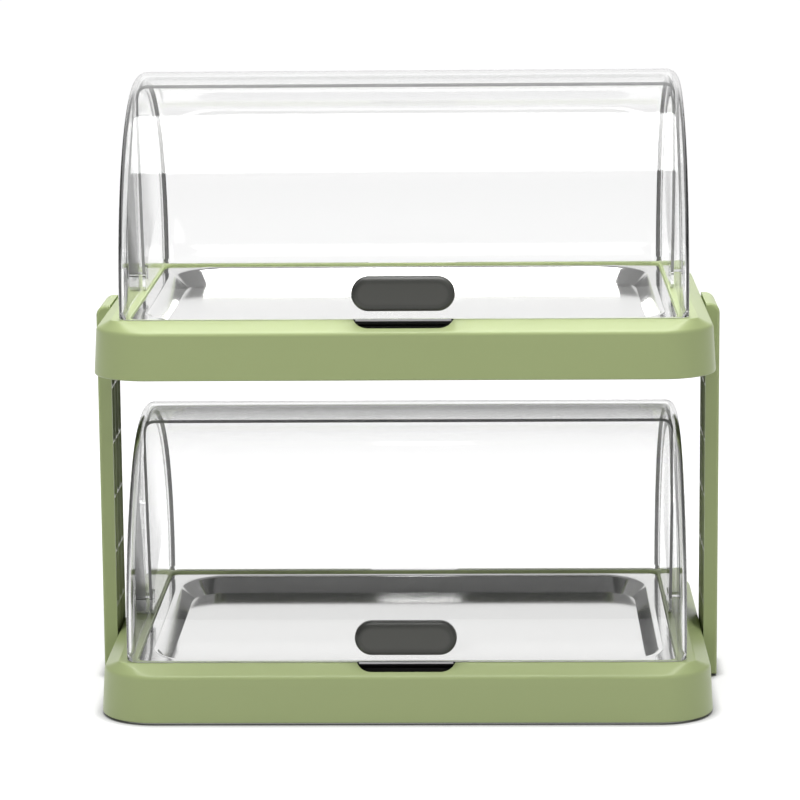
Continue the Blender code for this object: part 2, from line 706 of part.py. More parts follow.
def make_shell(name, axis, half_x, radius, wall, reach_angle, side):
    """A quarter-drum cover shell whose origin is on the pivot axis."""
    outside = prism(shell_outline(radius, reach_angle, side), (-half_x, 0, 0), (half_x, 0, 0))
    soften_shell_edges(outside, half_x, COVER_EDGE_ROUND)
    shell = add_object(name, outside, axis, clear_plastic)
    inner_x, inner_radius = half_x - wall, radius - wall
    inside = prism(hollow_outline(inner_radius, side), (-inner_x, 0, 0), (inner_x, 0, 0))
    soften_shell_edges(inside, inner_x, COVER_EDGE_ROUND - wall)
    cut(shell, "hollow", inside)
    hole = PIN_RADIUS + PIN_HOLE_CLEARANCE
    outer = half_x + CUT_OVERRUN
    cut(shell, "pin_holes", rod((-outer, 0, 0), (outer, 0, 0), hole))
    return shell


def add_front_tab(shell):
    """The short tab under the handle that closes the back of the finger notch."""
    half = NOTCH_WIDTH / 2 - COVER_TAB_CLEARANCE
    front = COVER_TAB_INSET - COVER_REACH
    back = front + FRONT_WALL - 2 * COVER_TAB_INSET
    low, high = -COVER_DROP - COVER_TAB_DEPTH, COVER_TAB_OVERLAP - COVER_DROP
    join(shell, "tab", block((-half, front, low), (half, back, high)))


def handle_screw_profile(clearance):
    """A countersunk screw from its head, at zero, outwards; clearance makes its cutter."""
    cone = HANDLE_SCREW_HEAD_HEIGHT
    radius = HANDLE_SCREW_RADIUS + clearance
    end = HANDLE_SCREW_LENGTH + clearance
    start = -clearance
    return (
        (start, 0),
        (start, HANDLE_SCREW_HEAD_RADIUS + clearance),
        (0, HANDLE_SCREW_HEAD_RADIUS + clearance),
        (cone, radius),
        (end, radius),
        (end, 0),
    )


def handle_screws(prefix, axis, shell, handle):
    """Two countersunk screws from inside the front wall into the handle."""
    outward = Vector((0, -math.cos(HANDLE_ANGLE), math.sin(HANDLE_ANGLE)))
    place = outward * (FRONT_RADIUS - FRONT_WALL)
    cutters = {shell: [], handle: []}
    for side, word in ((-1, "left"), (1, "right")):
        centre = place + Vector((side * HANDLE_SCREW_SPACING / 2, 0, 0))
        body = handle_screw_profile(0)[1:]
        screw = turned(((0, 0),) + body, centre, outward)
        add_object(f"{prefix}handle_screw_{word}", screw, axis, zinc_plate)
        for piece in cutters:
            cutters[piece].append(turned(handle_screw_profile(HANDLE_SCREW_CLEARANCE), centre, outward))
    for piece, shapes in cutters.items():
        cut(piece, "screw_holes", gather(shapes))


def make_handle(name, axis):
    """The dark pill-shaped grip, cut behind to the cover's curve."""
    half = HANDLE_HEIGHT / 2
    quarter = math.pi / 2
    end = HANDLE_WIDTH / 2 - half
    outline = arc(half, 0, 2 * quarter, (end, 0)) + arc(half, 2 * quarter, 4 * quarter, (-end, 0))
    front = -(FRONT_RADIUS + HANDLE_PROJECTION)
    back = -(FRONT_RADIUS - FRONT_WALL)
    pill = prism(outline, (0, front, 0), (0, back, 0))
    edges = [e for e in pill.edges if all(abs(v.co.y - front) < FIT_GAP for v in e.verts)]
    round_edges(pill, edges, HANDLE_EDGE_ROUND)
    tilt = Matrix.Rotation(-HANDLE_ANGLE, 4, "X")
    bmesh.ops.transform(pill, matrix=tilt, verts=pill.verts)
    handle = add_object(name, pill, axis, grey_plastic)
    reach = HANDLE_WIDTH
    swing = HANDLE_HEIGHT / FRONT_RADIUS
    face = arc(FRONT_RADIUS + FIT_GAP, -quarter - swing, -quarter + 2 * swing, facet=COVER_STEP)
    seat = face + [(0, 0)]
    cut(handle, "seat", prism(seat, (-reach, 0, 0), (reach, 0, 0)))
    return handle


def make_pivot(prefix, parent, side, word):
    """The clear bracket on the ledge and the pin that both shells turn on."""
    inner = FRONT_X + BRACKET_COVER_GAP
    outer = inner + BRACKET_THICKNESS
    foot = BRACKET_FOOT_WIDTH / 2
    stem = BRACKET_STEM_WIDTH / 2
    bottom = FIT_GAP - PIVOT_RISE
    foot_top = bottom + BRACKET_FOOT_HEIGHT
    flare = math.asin(min(stem / BRACKET_HEAD_RADIUS, 1))
    half_turn = math.pi
    head = arc(BRACKET_HEAD_RADIUS, -half_turn + flare, half_turn - flare)
    outline = [(-foot, bottom), (-foot, foot_top), (-stem, foot_top)] + head
    outline += [(stem, foot_top), (foot, foot_top), (foot, bottom)]
    pivot = (0, 0, PIVOT_HEIGHT)
    low, high = sorted((side * inner, side * outer))
    shape = prism(outline, (low, 0, PIVOT_HEIGHT), (high, 0, PIVOT_HEIGHT))
    bracket = add_object(f"{prefix}pivot_bracket_{word}", shape, parent, clear_plastic)
    hole = PIN_RADIUS + PIN_HOLE_CLEARANCE
    near, far = side * (inner - CUT_OVERRUN), side * (outer + CUT_OVERRUN)
    cut(bracket, "pin_hole", rod((near, 0, PIVOT_HEIGHT), (far, 0, PIVOT_HEIGHT), hole))

    inner_face = REAR_X - REAR_WALL - FIT_GAP
    head_start = inner_face - PIN_INNER_HEAD
    shaft_end = outer + FIT_GAP - head_start
    length = shaft_end + PIN_OUTER_HEAD
    profile = (
        (0, 0),
        (0, PIN_HEAD_RADIUS - PIN_EDGE),
        (PIN_EDGE, PIN_HEAD_RADIUS),
        (PIN_INNER_HEAD, PIN_HEAD_RADIUS),
        (PIN_INNER_HEAD, PIN_RADIUS),
        (shaft_end, PIN_RADIUS),
        (shaft_end, PIN_HEAD_RADIUS),
        (length - PIN_EDGE, PIN_HEAD_RADIUS),
        (length, PIN_HEAD_RADIUS - PIN_EDGE),
        (length, 0),
    )
    pin = turned(profile, Vector(pivot) + Vector((side * head_start, 0, 0)), (side, 0, 0))
    add_object(f"{prefix}pivot_pin_{word}", pin, parent, clear_plastic)


def make_tier(prefix, height):
    """One display level: frame, tub, packs, tray, cover shells, pivots and handle."""
    tier = add_empty(f"{prefix}tier", (0, 0, height))
    make_base_frame(f"{prefix}base_frame", tier)
    make_tub(f"{prefix}inner_tub", tier)
    make_tub_screws(prefix, tier)
    make_cold_packs(prefix, tier)
    make_food_tray(f"{prefix}food_tray", tier)
    axis = add_empty(f"{prefix}cover_axis", (0, 0, PIVOT_HEIGHT), tier)
    tail_angle = math.asin(COVER_TAIL / FRONT_RADIUS)
    front = make_shell(
        f"{prefix}front_shell", axis, FRONT_X, FRONT_RADIUS, FRONT_WALL, tail_angle, -1
    )
    add_front_tab(front)
    make_shell(f"{prefix}rear_shell", axis, REAR_X, REAR_RADIUS, REAR_WALL, REAR_LEAD_ANGLE, 1)
    handle = make_handle(f"{prefix}handle", axis)
    handle_screws(prefix, axis, front, handle)
    for side, word in ((-1, "left"), (1, "right")):
        make_pivot(prefix, tier, side, word)


def make_feet(parent):
    """Four rubber feet, each a disc under a frame column with a stem pushed into it."""
    top = FOOT_SHOW - FIT_GAP
    profile = (
        (0, 0),
        (0, FOOT_RADIUS - FOOT_EDGE),
        (FOOT_EDGE, FOOT_RADIUS),
        (top, FOOT_RADIUS),
        (top, FOOT_STEM_RADIUS),
        (FOOT_SHOW + FOOT_STEM_LENGTH, FOOT_STEM_RADIUS),
        (FOOT_SHOW + FOOT_STEM_LENGTH, 0),
    )
    for number, (x, y) in enumerate(column_places(), 1):
        add_object(f"foot_{number}", turned(profile, (x, y, 0)), parent, black_rubber)


def post_pockets():
    """Boxes between the post's ribs, open on its inner side, for the right-hand post."""
    half = POST_DEPTH / 2
    rib = POST_RIB / 2
    columns = [
        (POST_SKIN - half, -POST_RIB_PLACE - rib),
        (rib - POST_RIB_PLACE, POST_RIB_PLACE - rib),
        (POST_RIB_PLACE + rib, half - POST_SKIN),
    ]
    top = POST_LENGTH - POST_SKIN - POST_TOP_RADIUS / 2
    levels = [POST_SKIN]
    rib_height = POST_FIRST_RIB
    while rib_height < top - POST_RIB_PITCH * LAST_BAY_SHARE:
        levels += [rib_height - rib, rib_height + rib]
        rib_height += POST_RIB_PITCH
    levels.append(top)
    low_x, high_x = POST_INNER_X - CUT_OVERRUN, POST_OUTER_X - POST_SKIN
    return [
        block((low_x, low_y, low_z), (high_x, high_y, high_z))
        for low_y, high_y in columns
        for low_z, high_z in zip(levels[::2], levels[1::2])
    ]


def mirror_left(bm, side):
    """Turns a right-hand shape into the left-hand one where side is -1."""
    bmesh.ops.scale(bm, vec=(side, 1, 1), verts=bm.verts)
    return bm


def make_post(side, word, parent):
    """A side post: outer skin, edge walls and ribs, hollow towards the frames."""
    quarter = math.pi / 2
    corner_centre = (POST_OUTER_X - POST_TOP_RADIUS, POST_LENGTH - POST_TOP_RADIUS)
    corner = arc(POST_TOP_RADIUS, 0, quarter, corner_centre)
    outline = [(POST_INNER_X, 0), (POST_INNER_X, POST_LENGTH)] + corner + [(POST_OUTER_X, 0)]
    half = POST_DEPTH / 2
    bar = prism(outline, (0, -half, 0), (0, half, 0))
    outer_edges = []
    for edge in bar.edges:
        first, second = edge.verts
        along_side = abs(first.co.y - second.co.y) < FIT_GAP
        inner = all(abs(v.co.x - POST_INNER_X) < FIT_GAP for v in edge.verts)
        if along_side and not inner:
            outer_edges.append(edge)
    round_edges(bar, outer_edges, POST_EDGE_ROUND)
    post = add_object(f"side_post_{word}", mirror_left(bar, side), parent, green_plastic)
    cut(post, "pockets", mirror_left(gather(post_pockets()), side))
    heights = (POST_SCREW_HEIGHT, TIER_PITCH + POST_SCREW_HEIGHT)
    places = [(y, z) for z in heights for y in (-POST_SCREW_PLACE, POST_SCREW_PLACE)]
    skin = POST_OUTER_X - POST_SKIN / 2
    bosses = [rod((POST_INNER_X, y, z), (skin, y, z), POST_BOSS_RADIUS) for y, z in places]
    join(post, "bosses", mirror_left(gather(bosses), side))
    radius = POST_SCREW_RADIUS + SCREW_HOLE_CLEARANCE
    head = RIM_X - BASE_WALL - FIT_GAP
    tip = head + POST_SCREW_LENGTH + FIT_GAP
    holes = [rod((POST_INNER_X - CUT_OVERRUN, y, z), (tip, y, z), radius) for y, z in places]
    cut(post, "screw_holes", mirror_left(gather(holes), side))
    sizes = (
        POST_SCREW_RADIUS,
        POST_SCREW_LENGTH + POST_SCREW_HEAD_HEIGHT,
        POST_SCREW_HEAD_RADIUS,
        POST_SCREW_HEAD_HEIGHT,
    )
    for number, (y, z) in enumerate(places, 1):
        place = (side * (head - POST_SCREW_HEAD_HEIGHT), y, z)
        pan_head_screw(f"post_screw_{word}_{number}", place, (side, 0, 0), sizes, parent)


def main():
    clear_scene()
    make_tier("lower_", FOOT_SHOW)
    make_tier("upper_", FOOT_SHOW + TIER_PITCH)
    stand = add_empty("stand", (0, 0, FOOT_SHOW))
    make_feet(None)
    for side, word in ((-1, "left"), (1, "right")):
        make_post(side, word, stand)


main()
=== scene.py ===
# %% [markdown]
# # A two-tier display case with clear roll-top covers
#
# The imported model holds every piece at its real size, but its curves are facets and its
# finishes are plain. This lesson keeps those sizes and gives each piece the surface that the
# real one has: satin green mouldings, clear polished covers, bright steel trays and dark grips.
# The frame is loaded first, because each piece takes its place from it.

import math

import bmesh
import bpy
from mathutils import Matrix, Vector


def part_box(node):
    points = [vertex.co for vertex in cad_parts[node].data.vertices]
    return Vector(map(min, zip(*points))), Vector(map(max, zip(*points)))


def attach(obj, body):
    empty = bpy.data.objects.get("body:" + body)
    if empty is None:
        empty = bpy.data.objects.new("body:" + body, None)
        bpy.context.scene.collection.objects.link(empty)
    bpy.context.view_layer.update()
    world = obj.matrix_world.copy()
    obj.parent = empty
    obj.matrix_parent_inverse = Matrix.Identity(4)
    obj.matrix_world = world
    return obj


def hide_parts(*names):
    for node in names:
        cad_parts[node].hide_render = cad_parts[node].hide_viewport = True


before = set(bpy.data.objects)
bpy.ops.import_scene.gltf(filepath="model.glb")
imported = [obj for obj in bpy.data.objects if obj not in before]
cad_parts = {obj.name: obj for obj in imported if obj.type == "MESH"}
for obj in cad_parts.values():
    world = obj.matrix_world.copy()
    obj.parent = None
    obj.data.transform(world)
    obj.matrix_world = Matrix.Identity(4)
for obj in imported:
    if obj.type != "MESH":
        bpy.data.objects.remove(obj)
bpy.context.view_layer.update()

# %% [markdown]
# ## Sizes
#
# All lengths are metres. The values below are the ones a drawing of the case would carry, and
# the rest is worked out from them. Both tiers are alike, so one set of sizes serves both, and
# each piece is lifted to its tier at the end.

# %% Sizes of the base frame, the covers and the tray
BASE_HALF_X, BASE_HALF_Y = 0.220, 0.162
BASE_CORNER = 0.040
DRAFT = 0.002
WALL = 0.0025
RIM_HEIGHT = 0.0331
RIM_ROUND = 0.0022
FOOT_ROUND = 0.0012
BEVEL_RUN = 0.012
LEDGE_HEIGHT = 0.0408
LEDGE_CORNER = 0.008
LEDGE_ROUND = 0.0008
REBATE_DEPTH = 0.0026
LIP_WIDTH = 0.006
LIP_CORNER = 0.014
FOOT_SHOW = 0.0015
PIVOT_RISE = 0.0137
COVER_SEAT_GAP = 0.0004
COVER_SIDE_SETBACK = 0.006
COVER_FRONT_SETBACK = 0.0006
FRONT_WALL = 0.0025
REAR_WALL = 0.0022
NEST_GAP = 0.0012
COVER_CORNER = 0.009
TAB_DEPTH = 0.0015
TAB_CLEARANCE = 0.002
TAB_INSET = 0.0002
TAB_OVERLAP = 0.001
COVER_TAIL = 0.009
REAR_LEAD = math.radians(14)
TIER_CLEARANCE = 0.0445
TRAY_SIDE_CLEARANCE = 0.0022
TRAY_END_CLEARANCE = 0.002
TRAY_FIT = 0.0008
TRAY_SHEET = 0.0008
TRAY_CORNER = 0.009
FIT_GAP = 0.0003

# %% Places that follow from the sizes
RIM_X, RIM_Y = BASE_HALF_X - DRAFT, BASE_HALF_Y - DRAFT
LEDGE_X, LEDGE_Y = RIM_X - BEVEL_RUN, RIM_Y - BEVEL_RUN
PIVOT_HEIGHT = LEDGE_HEIGHT + PIVOT_RISE
COVER_DROP = PIVOT_RISE - COVER_SEAT_GAP
FRONT_X = LEDGE_X - COVER_SIDE_SETBACK
COVER_REACH = LEDGE_Y - COVER_FRONT_SETBACK
FRONT_RADIUS = math.hypot(COVER_REACH, COVER_DROP)
REAR_X = FRONT_X - FRONT_WALL - NEST_GAP
REAR_RADIUS = FRONT_RADIUS - FRONT_WALL - NEST_GAP
REAR_REACH = math.sqrt((REAR_RADIUS - REAR_WALL) ** 2 - COVER_DROP**2)
TIER_PITCH = PIVOT_HEIGHT + FRONT_RADIUS + TIER_CLEARANCE
TRAY_X = REAR_X - REAR_WALL - TRAY_SIDE_CLEARANCE
TRAY_Y = REAR_REACH - TRAY_END_CLEARANCE
REBATE_X, REBATE_Y = TRAY_X + TRAY_FIT, TRAY_Y + TRAY_FIT
REBATE_FLOOR = LEDGE_HEIGHT - REBATE_DEPTH
LIP_X, LIP_Y = REBATE_X - LIP_WIDTH, REBATE_Y - LIP_WIDTH
LIP_BOTTOM = REBATE_FLOOR - WALL
TIERS = {"lower": FOOT_SHOW, "upper": FOOT_SHOW + TIER_PITCH}
frame_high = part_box("upper_base_frame")[1]
ledges = (TIERS["upper"] + LEDGE_HEIGHT, frame_high.z)
print("upper ledge, here and in the model:", [round(value, 5) for value in ledges])

# %% [markdown]
# ## The camera
#
# The view was found by fitting a pinhole camera to the corners of the case in the photograph.
# It stands a little over two metres away, slightly right of the middle, and looks down about
# ten degrees. A long lens keeps the upright posts nearly parallel.

# %% Place the camera
CAMERA_PLACE = Vector((0.0579, -2.4642, 0.6513))
CAMERA_PITCH = math.radians(10.25)
CAMERA_YAW = math.radians(-1.50)
CAMERA_ROLL = math.radians(-0.49)
FOCAL_PIXELS = 3355
PHOTO_PIXELS = 800
SENSOR_WIDTH = 36

looking = Vector(
    (
        math.sin(CAMERA_YAW) * math.cos(CAMERA_PITCH),
        math.cos(CAMERA_YAW) * math.cos(CAMERA_PITCH),
        -math.sin(CAMERA_PITCH),
    )
)
level_right = Vector((math.cos(CAMERA_YAW), -math.sin(CAMERA_YAW), 0))
level_up = level_right.cross(looking)
tilt_right = level_right * math.cos(CAMERA_ROLL) + level_up * math.sin(CAMERA_ROLL)
tilt_up = level_up * math.cos(CAMERA_ROLL) - level_right * math.sin(CAMERA_ROLL)
camera_data = bpy.data.cameras.new("photo_camera")
camera_data.sensor_width = SENSOR_WIDTH
camera_data.lens = FOCAL_PIXELS * SENSOR_WIDTH / PHOTO_PIXELS
camera = bpy.data.objects.new("photo_camera", camera_data)
turn = Matrix((tilt_right, tilt_up, -looking)).transposed().to_4x4()
camera.matrix_world = Matrix.Translation(CAMERA_PLACE) @ turn
bpy.context.scene.collection.objects.link(camera)
bpy.context.scene.camera = camera
print("lens in millimetres:", round(camera_data.lens, 1))

# %% [markdown]
# ## The studio
#
# The case stands on a white sweep under one large soft light, with two weaker ones at the
# sides. The world and the floor are built from a few nodes, because rays of different kinds
# have to find different things there. The camera finds plain white. Steel and clear plastic
# find the sweep, which is white behind the case up to a limited height, and a greyer room
# beside and above it, and that draws the lines of the covers. Matt surfaces get a plain low
# level, so that the green stays green.

# %% Helpers for shader trees
def new_tree(owner):
    """Empties a node tree and returns it."""
    owner.use_nodes = True
    tree = owner.node_tree
    tree.nodes.clear()
    return tree


def add_node(tree, kind, **settings):
    """Adds a shader node and sets its plain properties."""
    node = tree.nodes.new(kind)
    for name, value in settings.items():
        setattr(node, name, value)
    return node


def add_math(tree, operation, first, second=None):
    """A Math node; each of its inputs is a socket or a number."""
    node = add_node(tree, "ShaderNodeMath", operation=operation)
    for place, value in enumerate((first, second)):
        if value is None:
            continue
        if hasattr(value, "is_output"):
            tree.links.new(value, node.inputs[place])
        else:
            node.inputs[place].default_value = value
    return node.outputs[0]


def map_range(tree, value, start, end, low, high):
    """Maps start to end onto low to high, and holds the ends."""
    node = add_node(tree, "ShaderNodeMapRange")
    settings = {"From Min": start, "From Max": end, "To Min": low, "To Max": high}
    for label, number in settings.items():
        node.inputs[label].default_value = number
    tree.links.new(value, node.inputs["Value"])
    return node.outputs[0]


def inside_sweep(tree, place, start, fade):
    """A mask of the white sweep, which widens to the rear, and the height of the place."""
    parts = add_node(tree, "ShaderNodeSeparateXYZ")
    tree.links.new(place, parts.inputs[0])
    aside = add_math(tree, "ABSOLUTE", parts.outputs["X"])
    allowed = add_math(tree, "MULTIPLY", parts.outputs["Y"], SWEEP_SPREAD)
    beyond = add_math(tree, "SUBTRACT", aside, allowed)
    return map_range(tree, beyond, start, start + fade, 1, 0), parts.outputs["Z"]


def ray_kinds(tree):
    """Masks of the rays that the camera sends, and of those bent by gloss or clear plastic."""
    path = add_node(tree, "ShaderNodeLightPath")
    bent = (path.outputs["Is Glossy Ray"], path.outputs["Is Transmission Ray"])
    return path.outputs["Is Camera Ray"], add_math(tree, "MAXIMUM", *bent)


def mix_shaders(tree, mask, first, second):
    """A shader that is the first where the mask is 0 and the second where it is 1."""
    mix = add_node(tree, "ShaderNodeMixShader")
    for place, value in enumerate((mask, first.outputs[0], second.outputs[0])):
        tree.links.new(value, mix.inputs[place])
    return mix


# %% The world: a plain level for matt surfaces, a lit room for gloss
FILL_LEVEL = 0.36
ROOM_LEVEL = 0.26
SWEEP_TOP, SWEEP_TOP_FADE = 0.50, 0.25
SWEEP_SPREAD = 0.36
SWEEP_SIDE, SWEEP_SIDE_FADE = 0.04, 0.16

world = bpy.data.worlds.new("studio")
bpy.context.scene.world = world
tree = new_tree(world)
direction = add_node(tree, "ShaderNodeTexCoord")
side_mask, height = inside_sweep(tree, direction.outputs["Generated"], SWEEP_SIDE, SWEEP_SIDE_FADE)
top_mask = map_range(tree, height, SWEEP_TOP, SWEEP_TOP + SWEEP_TOP_FADE, 1, 0)
sweep = add_math(tree, "MULTIPLY", side_mask, top_mask)
camera_mask, bent_mask = ray_kinds(tree)
room = add_node(tree, "ShaderNodeBackground")
tree.links.new(map_range(tree, sweep, 0, 1, ROOM_LEVEL, 1), room.inputs["Strength"])
fill = add_node(tree, "ShaderNodeBackground")
fill.inputs["Strength"].default_value = FILL_LEVEL
white = add_node(tree, "ShaderNodeBackground")
white.inputs["Strength"].default_value = 1
for background in (room, fill, white):
    background.inputs["Color"].default_value = (1, 1, 1, 1)
seen_world = mix_shaders(tree, camera_mask, mix_shaders(tree, bent_mask, fill, room), white)
output = add_node(tree, "ShaderNodeOutputWorld")
tree.links.new(seen_world.outputs[0], output.inputs["Surface"])
print("world levels for matt surfaces and in the room:", FILL_LEVEL, ROOM_LEVEL)

# %% The floor keeps the lamps' shadow, glows white where nothing shades it, and has a painted contact shadow
FLOOR_HALF = 12.0
FLOOR_WHITE = 0.36
FLOOR_GLOW_NEAR = 0.76
FLOOR_GLOW_FAR = 0.90
FLOOR_NEAR, FLOOR_FAR = 0.34, 0.60
FLOOR_SIDE, FLOOR_SIDE_FADE = 0.60, 0.60
FLOOR_DIM = 0.85
CONTACT_REACH = 0.013
CONTACT_SAMPLES = 8
CONTACT_DARK, CONTACT_CLEAR = 0.42, 0.86

floor_mesh = bpy.data.meshes.new("floor")
corners = [(x * FLOOR_HALF, y * FLOOR_HALF, 0) for x, y in ((-1, -1), (1, -1), (1, 1), (-1, 1))]
floor_mesh.from_pydata(corners, [], [(0, 1, 2, 3)])
floor = bpy.data.objects.new("floor", floor_mesh)
bpy.context.scene.collection.objects.link(floor)
floor_material = bpy.data.materials.new("white_floor")
tree = new_tree(floor_material)
matt = add_node(tree, "ShaderNodeBsdfDiffuse")
matt.inputs["Color"].default_value = (FLOOR_WHITE, FLOOR_WHITE, FLOOR_WHITE, 1)
place = add_node(tree, "ShaderNodeTexCoord")
reach = add_node(tree, "ShaderNodeVectorMath", operation="LENGTH")
tree.links.new(place.outputs["Object"], reach.inputs[0])
from_middle = reach.outputs["Value"]
level = map_range(tree, from_middle, FLOOR_NEAR, FLOOR_FAR, FLOOR_GLOW_NEAR, FLOOR_GLOW_FAR)
side_mask, height = inside_sweep(tree, place.outputs["Object"], FLOOR_SIDE, FLOOR_SIDE_FADE)
camera_mask, bent_mask = ray_kinds(tree)
bent_level = add_math(tree, "MULTIPLY", bent_mask, map_range(tree, side_mask, 0, 1, FLOOR_DIM, 1))
seen = add_math(tree, "MAXIMUM", camera_mask, bent_level)
# An ambient occlusion mask takes the glow away where the case meets the floor: a painted contact
# shadow.
contact = add_node(tree, "ShaderNodeAmbientOcclusion", samples=CONTACT_SAMPLES)
contact.inputs["Distance"].default_value = CONTACT_REACH
outside_contact_shadow = map_range(tree, contact.outputs["AO"], CONTACT_DARK, CONTACT_CLEAR, 0, 1)
glow = add_node(tree, "ShaderNodeEmission")
glow_level = add_math(tree, "MULTIPLY", add_math(tree, "MULTIPLY", seen, level), outside_contact_shadow)
tree.links.new(glow_level, glow.inputs["Strength"])
both = add_node(tree, "ShaderNodeAddShader")
tree.links.new(matt.outputs[0], both.inputs[0])
tree.links.new(glow.outputs[0], both.inputs[1])
output = add_node(tree, "ShaderNodeOutputMaterial")
tree.links.new(both.outputs[0], output.inputs["Surface"])
floor_mesh.materials.append(floor_material)
print("floor, metres across:", 2 * FLOOR_HALF)

# %% Soft lamps
CASE_MIDDLE = Vector((0, 0, 0.22))
TOP_PLACE, TOP_SIZE, TOP_POWER = (0, -0.16, 1.9), (1.5, 1.2), 34
SIDE_X, SIDE_Y, SIDE_Z = 1.6, -1.6, 1.0
SIDE_SIZE = (0.9, 1.2)
SIDE_LAMPS = (("left_softbox", -SIDE_X, 8.5), ("right_softbox", SIDE_X, 7))


def add_lamp(name, place, size, power):
    """A rectangular softbox that faces the middle of the case."""
    light = bpy.data.lights.new(name, "AREA")
    light.shape = "RECTANGLE"
    light.size, light.size_y = size
    light.energy = power
    lamp = bpy.data.objects.new(name, light)
    lamp.location = place
    lamp.rotation_euler = (CASE_MIDDLE - Vector(place)).to_track_quat("-Z", "Y").to_euler()
    bpy.context.scene.collection.objects.link(lamp)
    return lamp


add_lamp("top_softbox", TOP_PLACE, TOP_SIZE, TOP_POWER)
for name, x, power in SIDE_LAMPS:
    lamp = add_lamp(name, (x, SIDE_Y, SIDE_Z), SIDE_SIZE, power)
    lamp.visible_glossy = lamp.visible_transmission = False
bpy.context.scene.view_settings.view_transform = "Standard"
print("lamps:", len(bpy.data.lights))

# %% [markdown]
# ## Surface effects
#
# Moulded plastic has a fine grain from its mould and a very slight mottle, and its edges get a
# colour of their own: lighter on the green, partly wear and partly a painted highlight, and
# darker on the grips, a painted shade. Steel is drawn and polished along one direction. Noise
# in the object's own space makes these without seams. Each effect is a node group with named
# sockets, so that every finish can place it with its own values.

# %% A helper that makes a node group with named sockets
def new_group(name, inputs, outputs):
    """A shader group; inputs are (name, default value), outputs are (name, socket type)."""
    group = bpy.data.node_groups.new(name, "ShaderNodeTree")
    for label, value in inputs:
        socket = group.interface.new_socket(label, in_out="INPUT", socket_type="NodeSocketFloat")
        socket.default_value = value
    for label, kind in outputs:
        group.interface.new_socket(label, in_out="OUTPUT", socket_type=kind)
    entry = group.nodes.new("NodeGroupInput")
    leave = group.nodes.new("NodeGroupOutput")
    return group, entry, leave


# %% Mould grain and mottle
GRAIN_SCALE, GRAIN_DETAIL = 2600, 2
MOTTLE_SCALE, MOTTLE_DETAIL = 22, 3


def make_moulded_grain():
    """Fine grain for a bump, and a slow mottle for colour and roughness."""
    group, entry, leave = new_group(
        "moulded_grain",
        [("Grain Scale", GRAIN_SCALE), ("Mottle Scale", MOTTLE_SCALE)],
        [("Grain", "NodeSocketFloat"), ("Mottle", "NodeSocketFloat")],
    )
    place = add_node(group, "ShaderNodeTexCoord")
    for label, detail in (("Grain", GRAIN_DETAIL), ("Mottle", MOTTLE_DETAIL)):
        noise = add_node(group, "ShaderNodeTexNoise")
        noise.inputs["Detail"].default_value = detail
        group.links.new(place.outputs["Object"], noise.inputs["Vector"])
        group.links.new(entry.outputs[f"{label} Scale"], noise.inputs["Scale"])
        group.links.new(noise.outputs["Fac"], leave.inputs[label])
    return group


moulded_grain = make_moulded_grain()
print("group:", moulded_grain.name)

# %% Edges with painted light and shade, partly wear on the green
EDGE_REACH, EDGE_STRENGTH, EDGE_SAMPLES = 0.001, 4, 4


def make_edge_highlight_and_shade():
    """A mask that is 1 on a convex edge, from the turn of the surface within Reach."""
    group, entry, leave = new_group(
        "edge_highlight_and_shade",
        [("Reach", EDGE_REACH), ("Strength", EDGE_STRENGTH)],
        [("Mask", "NodeSocketFloat")],
    )
    rounded = add_node(group, "ShaderNodeBevel", samples=EDGE_SAMPLES)
    group.links.new(entry.outputs["Reach"], rounded.inputs["Radius"])
    geometry = add_node(group, "ShaderNodeNewGeometry")
    product = add_node(group, "ShaderNodeVectorMath", operation="DOT_PRODUCT")
    group.links.new(rounded.outputs[0], product.inputs[0])
    group.links.new(geometry.outputs["Normal"], product.inputs[1])
    turned_away = add_math(group, "SUBTRACT", 1, product.outputs["Value"])
    strong = add_math(group, "MULTIPLY", turned_away, entry.outputs["Strength"])
    group.links.new(add_math(group, "MINIMUM", strong, 1), leave.inputs["Mask"])
    return group


edge_highlight_and_shade = make_edge_highlight_and_shade()
print("group:", edge_highlight_and_shade.name)

# %% Drawn lines in steel
LINE_SCALE, LINE_DETAIL, LINE_STRETCH = 900, 3, 0.02
CLOUD_SCALE = 14


def make_drawn_lines():
    """Long fine lines along X, and a faint cloudiness left by wiping."""
    group, entry, leave = new_group(
        "drawn_lines",
        [("Line Scale", LINE_SCALE), ("Cloud Scale", CLOUD_SCALE)],
        [("Lines", "NodeSocketFloat"), ("Clouds", "NodeSocketFloat")],
    )
    place = add_node(group, "ShaderNodeTexCoord")
    stretch = add_node(group, "ShaderNodeMapping")
    stretch.inputs["Scale"].default_value = (LINE_STRETCH, 1, 1)
    group.links.new(place.outputs["Object"], stretch.inputs["Vector"])
    lines = add_node(group, "ShaderNodeTexNoise")
    lines.inputs["Detail"].default_value = LINE_DETAIL
    group.links.new(stretch.outputs[0], lines.inputs["Vector"])
    group.links.new(entry.outputs["Line Scale"], lines.inputs["Scale"])
    clouds = add_node(group, "ShaderNodeTexNoise")
    group.links.new(place.outputs["Object"], clouds.inputs["Vector"])
    group.links.new(entry.outputs["Cloud Scale"], clouds.inputs["Scale"])
    group.links.new(lines.outputs["Fac"], leave.inputs["Lines"])
    group.links.new(clouds.outputs["Fac"], leave.inputs["Clouds"])
    return group


drawn_lines = make_drawn_lines()
print("group:", drawn_lines.name)

# %% [markdown]
# ## Finishes
#
# One function starts every finish with a Principled shader and its plain values. What varies
# over the surface is then linked in: the grain to the bump, the mottle and the painted light
# and shade of the edges to the colour and roughness.

# %% A Principled finish with plain values
def start_finish(name, colour, roughness, metallic=0):
    """Returns the material, its tree and its Principled shader."""
    material = bpy.data.materials.new(name)
    tree = new_tree(material)
    shader = add_node(tree, "ShaderNodeBsdfPrincipled")
    shader.inputs["Base Color"].default_value = (*colour, 1)
    shader.inputs["Roughness"].default_value = roughness
    shader.inputs["Metallic"].default_value = metallic
    output = add_node(tree, "ShaderNodeOutputMaterial")
    tree.links.new(shader.outputs[0], output.inputs["Surface"])
    return material, tree, shader


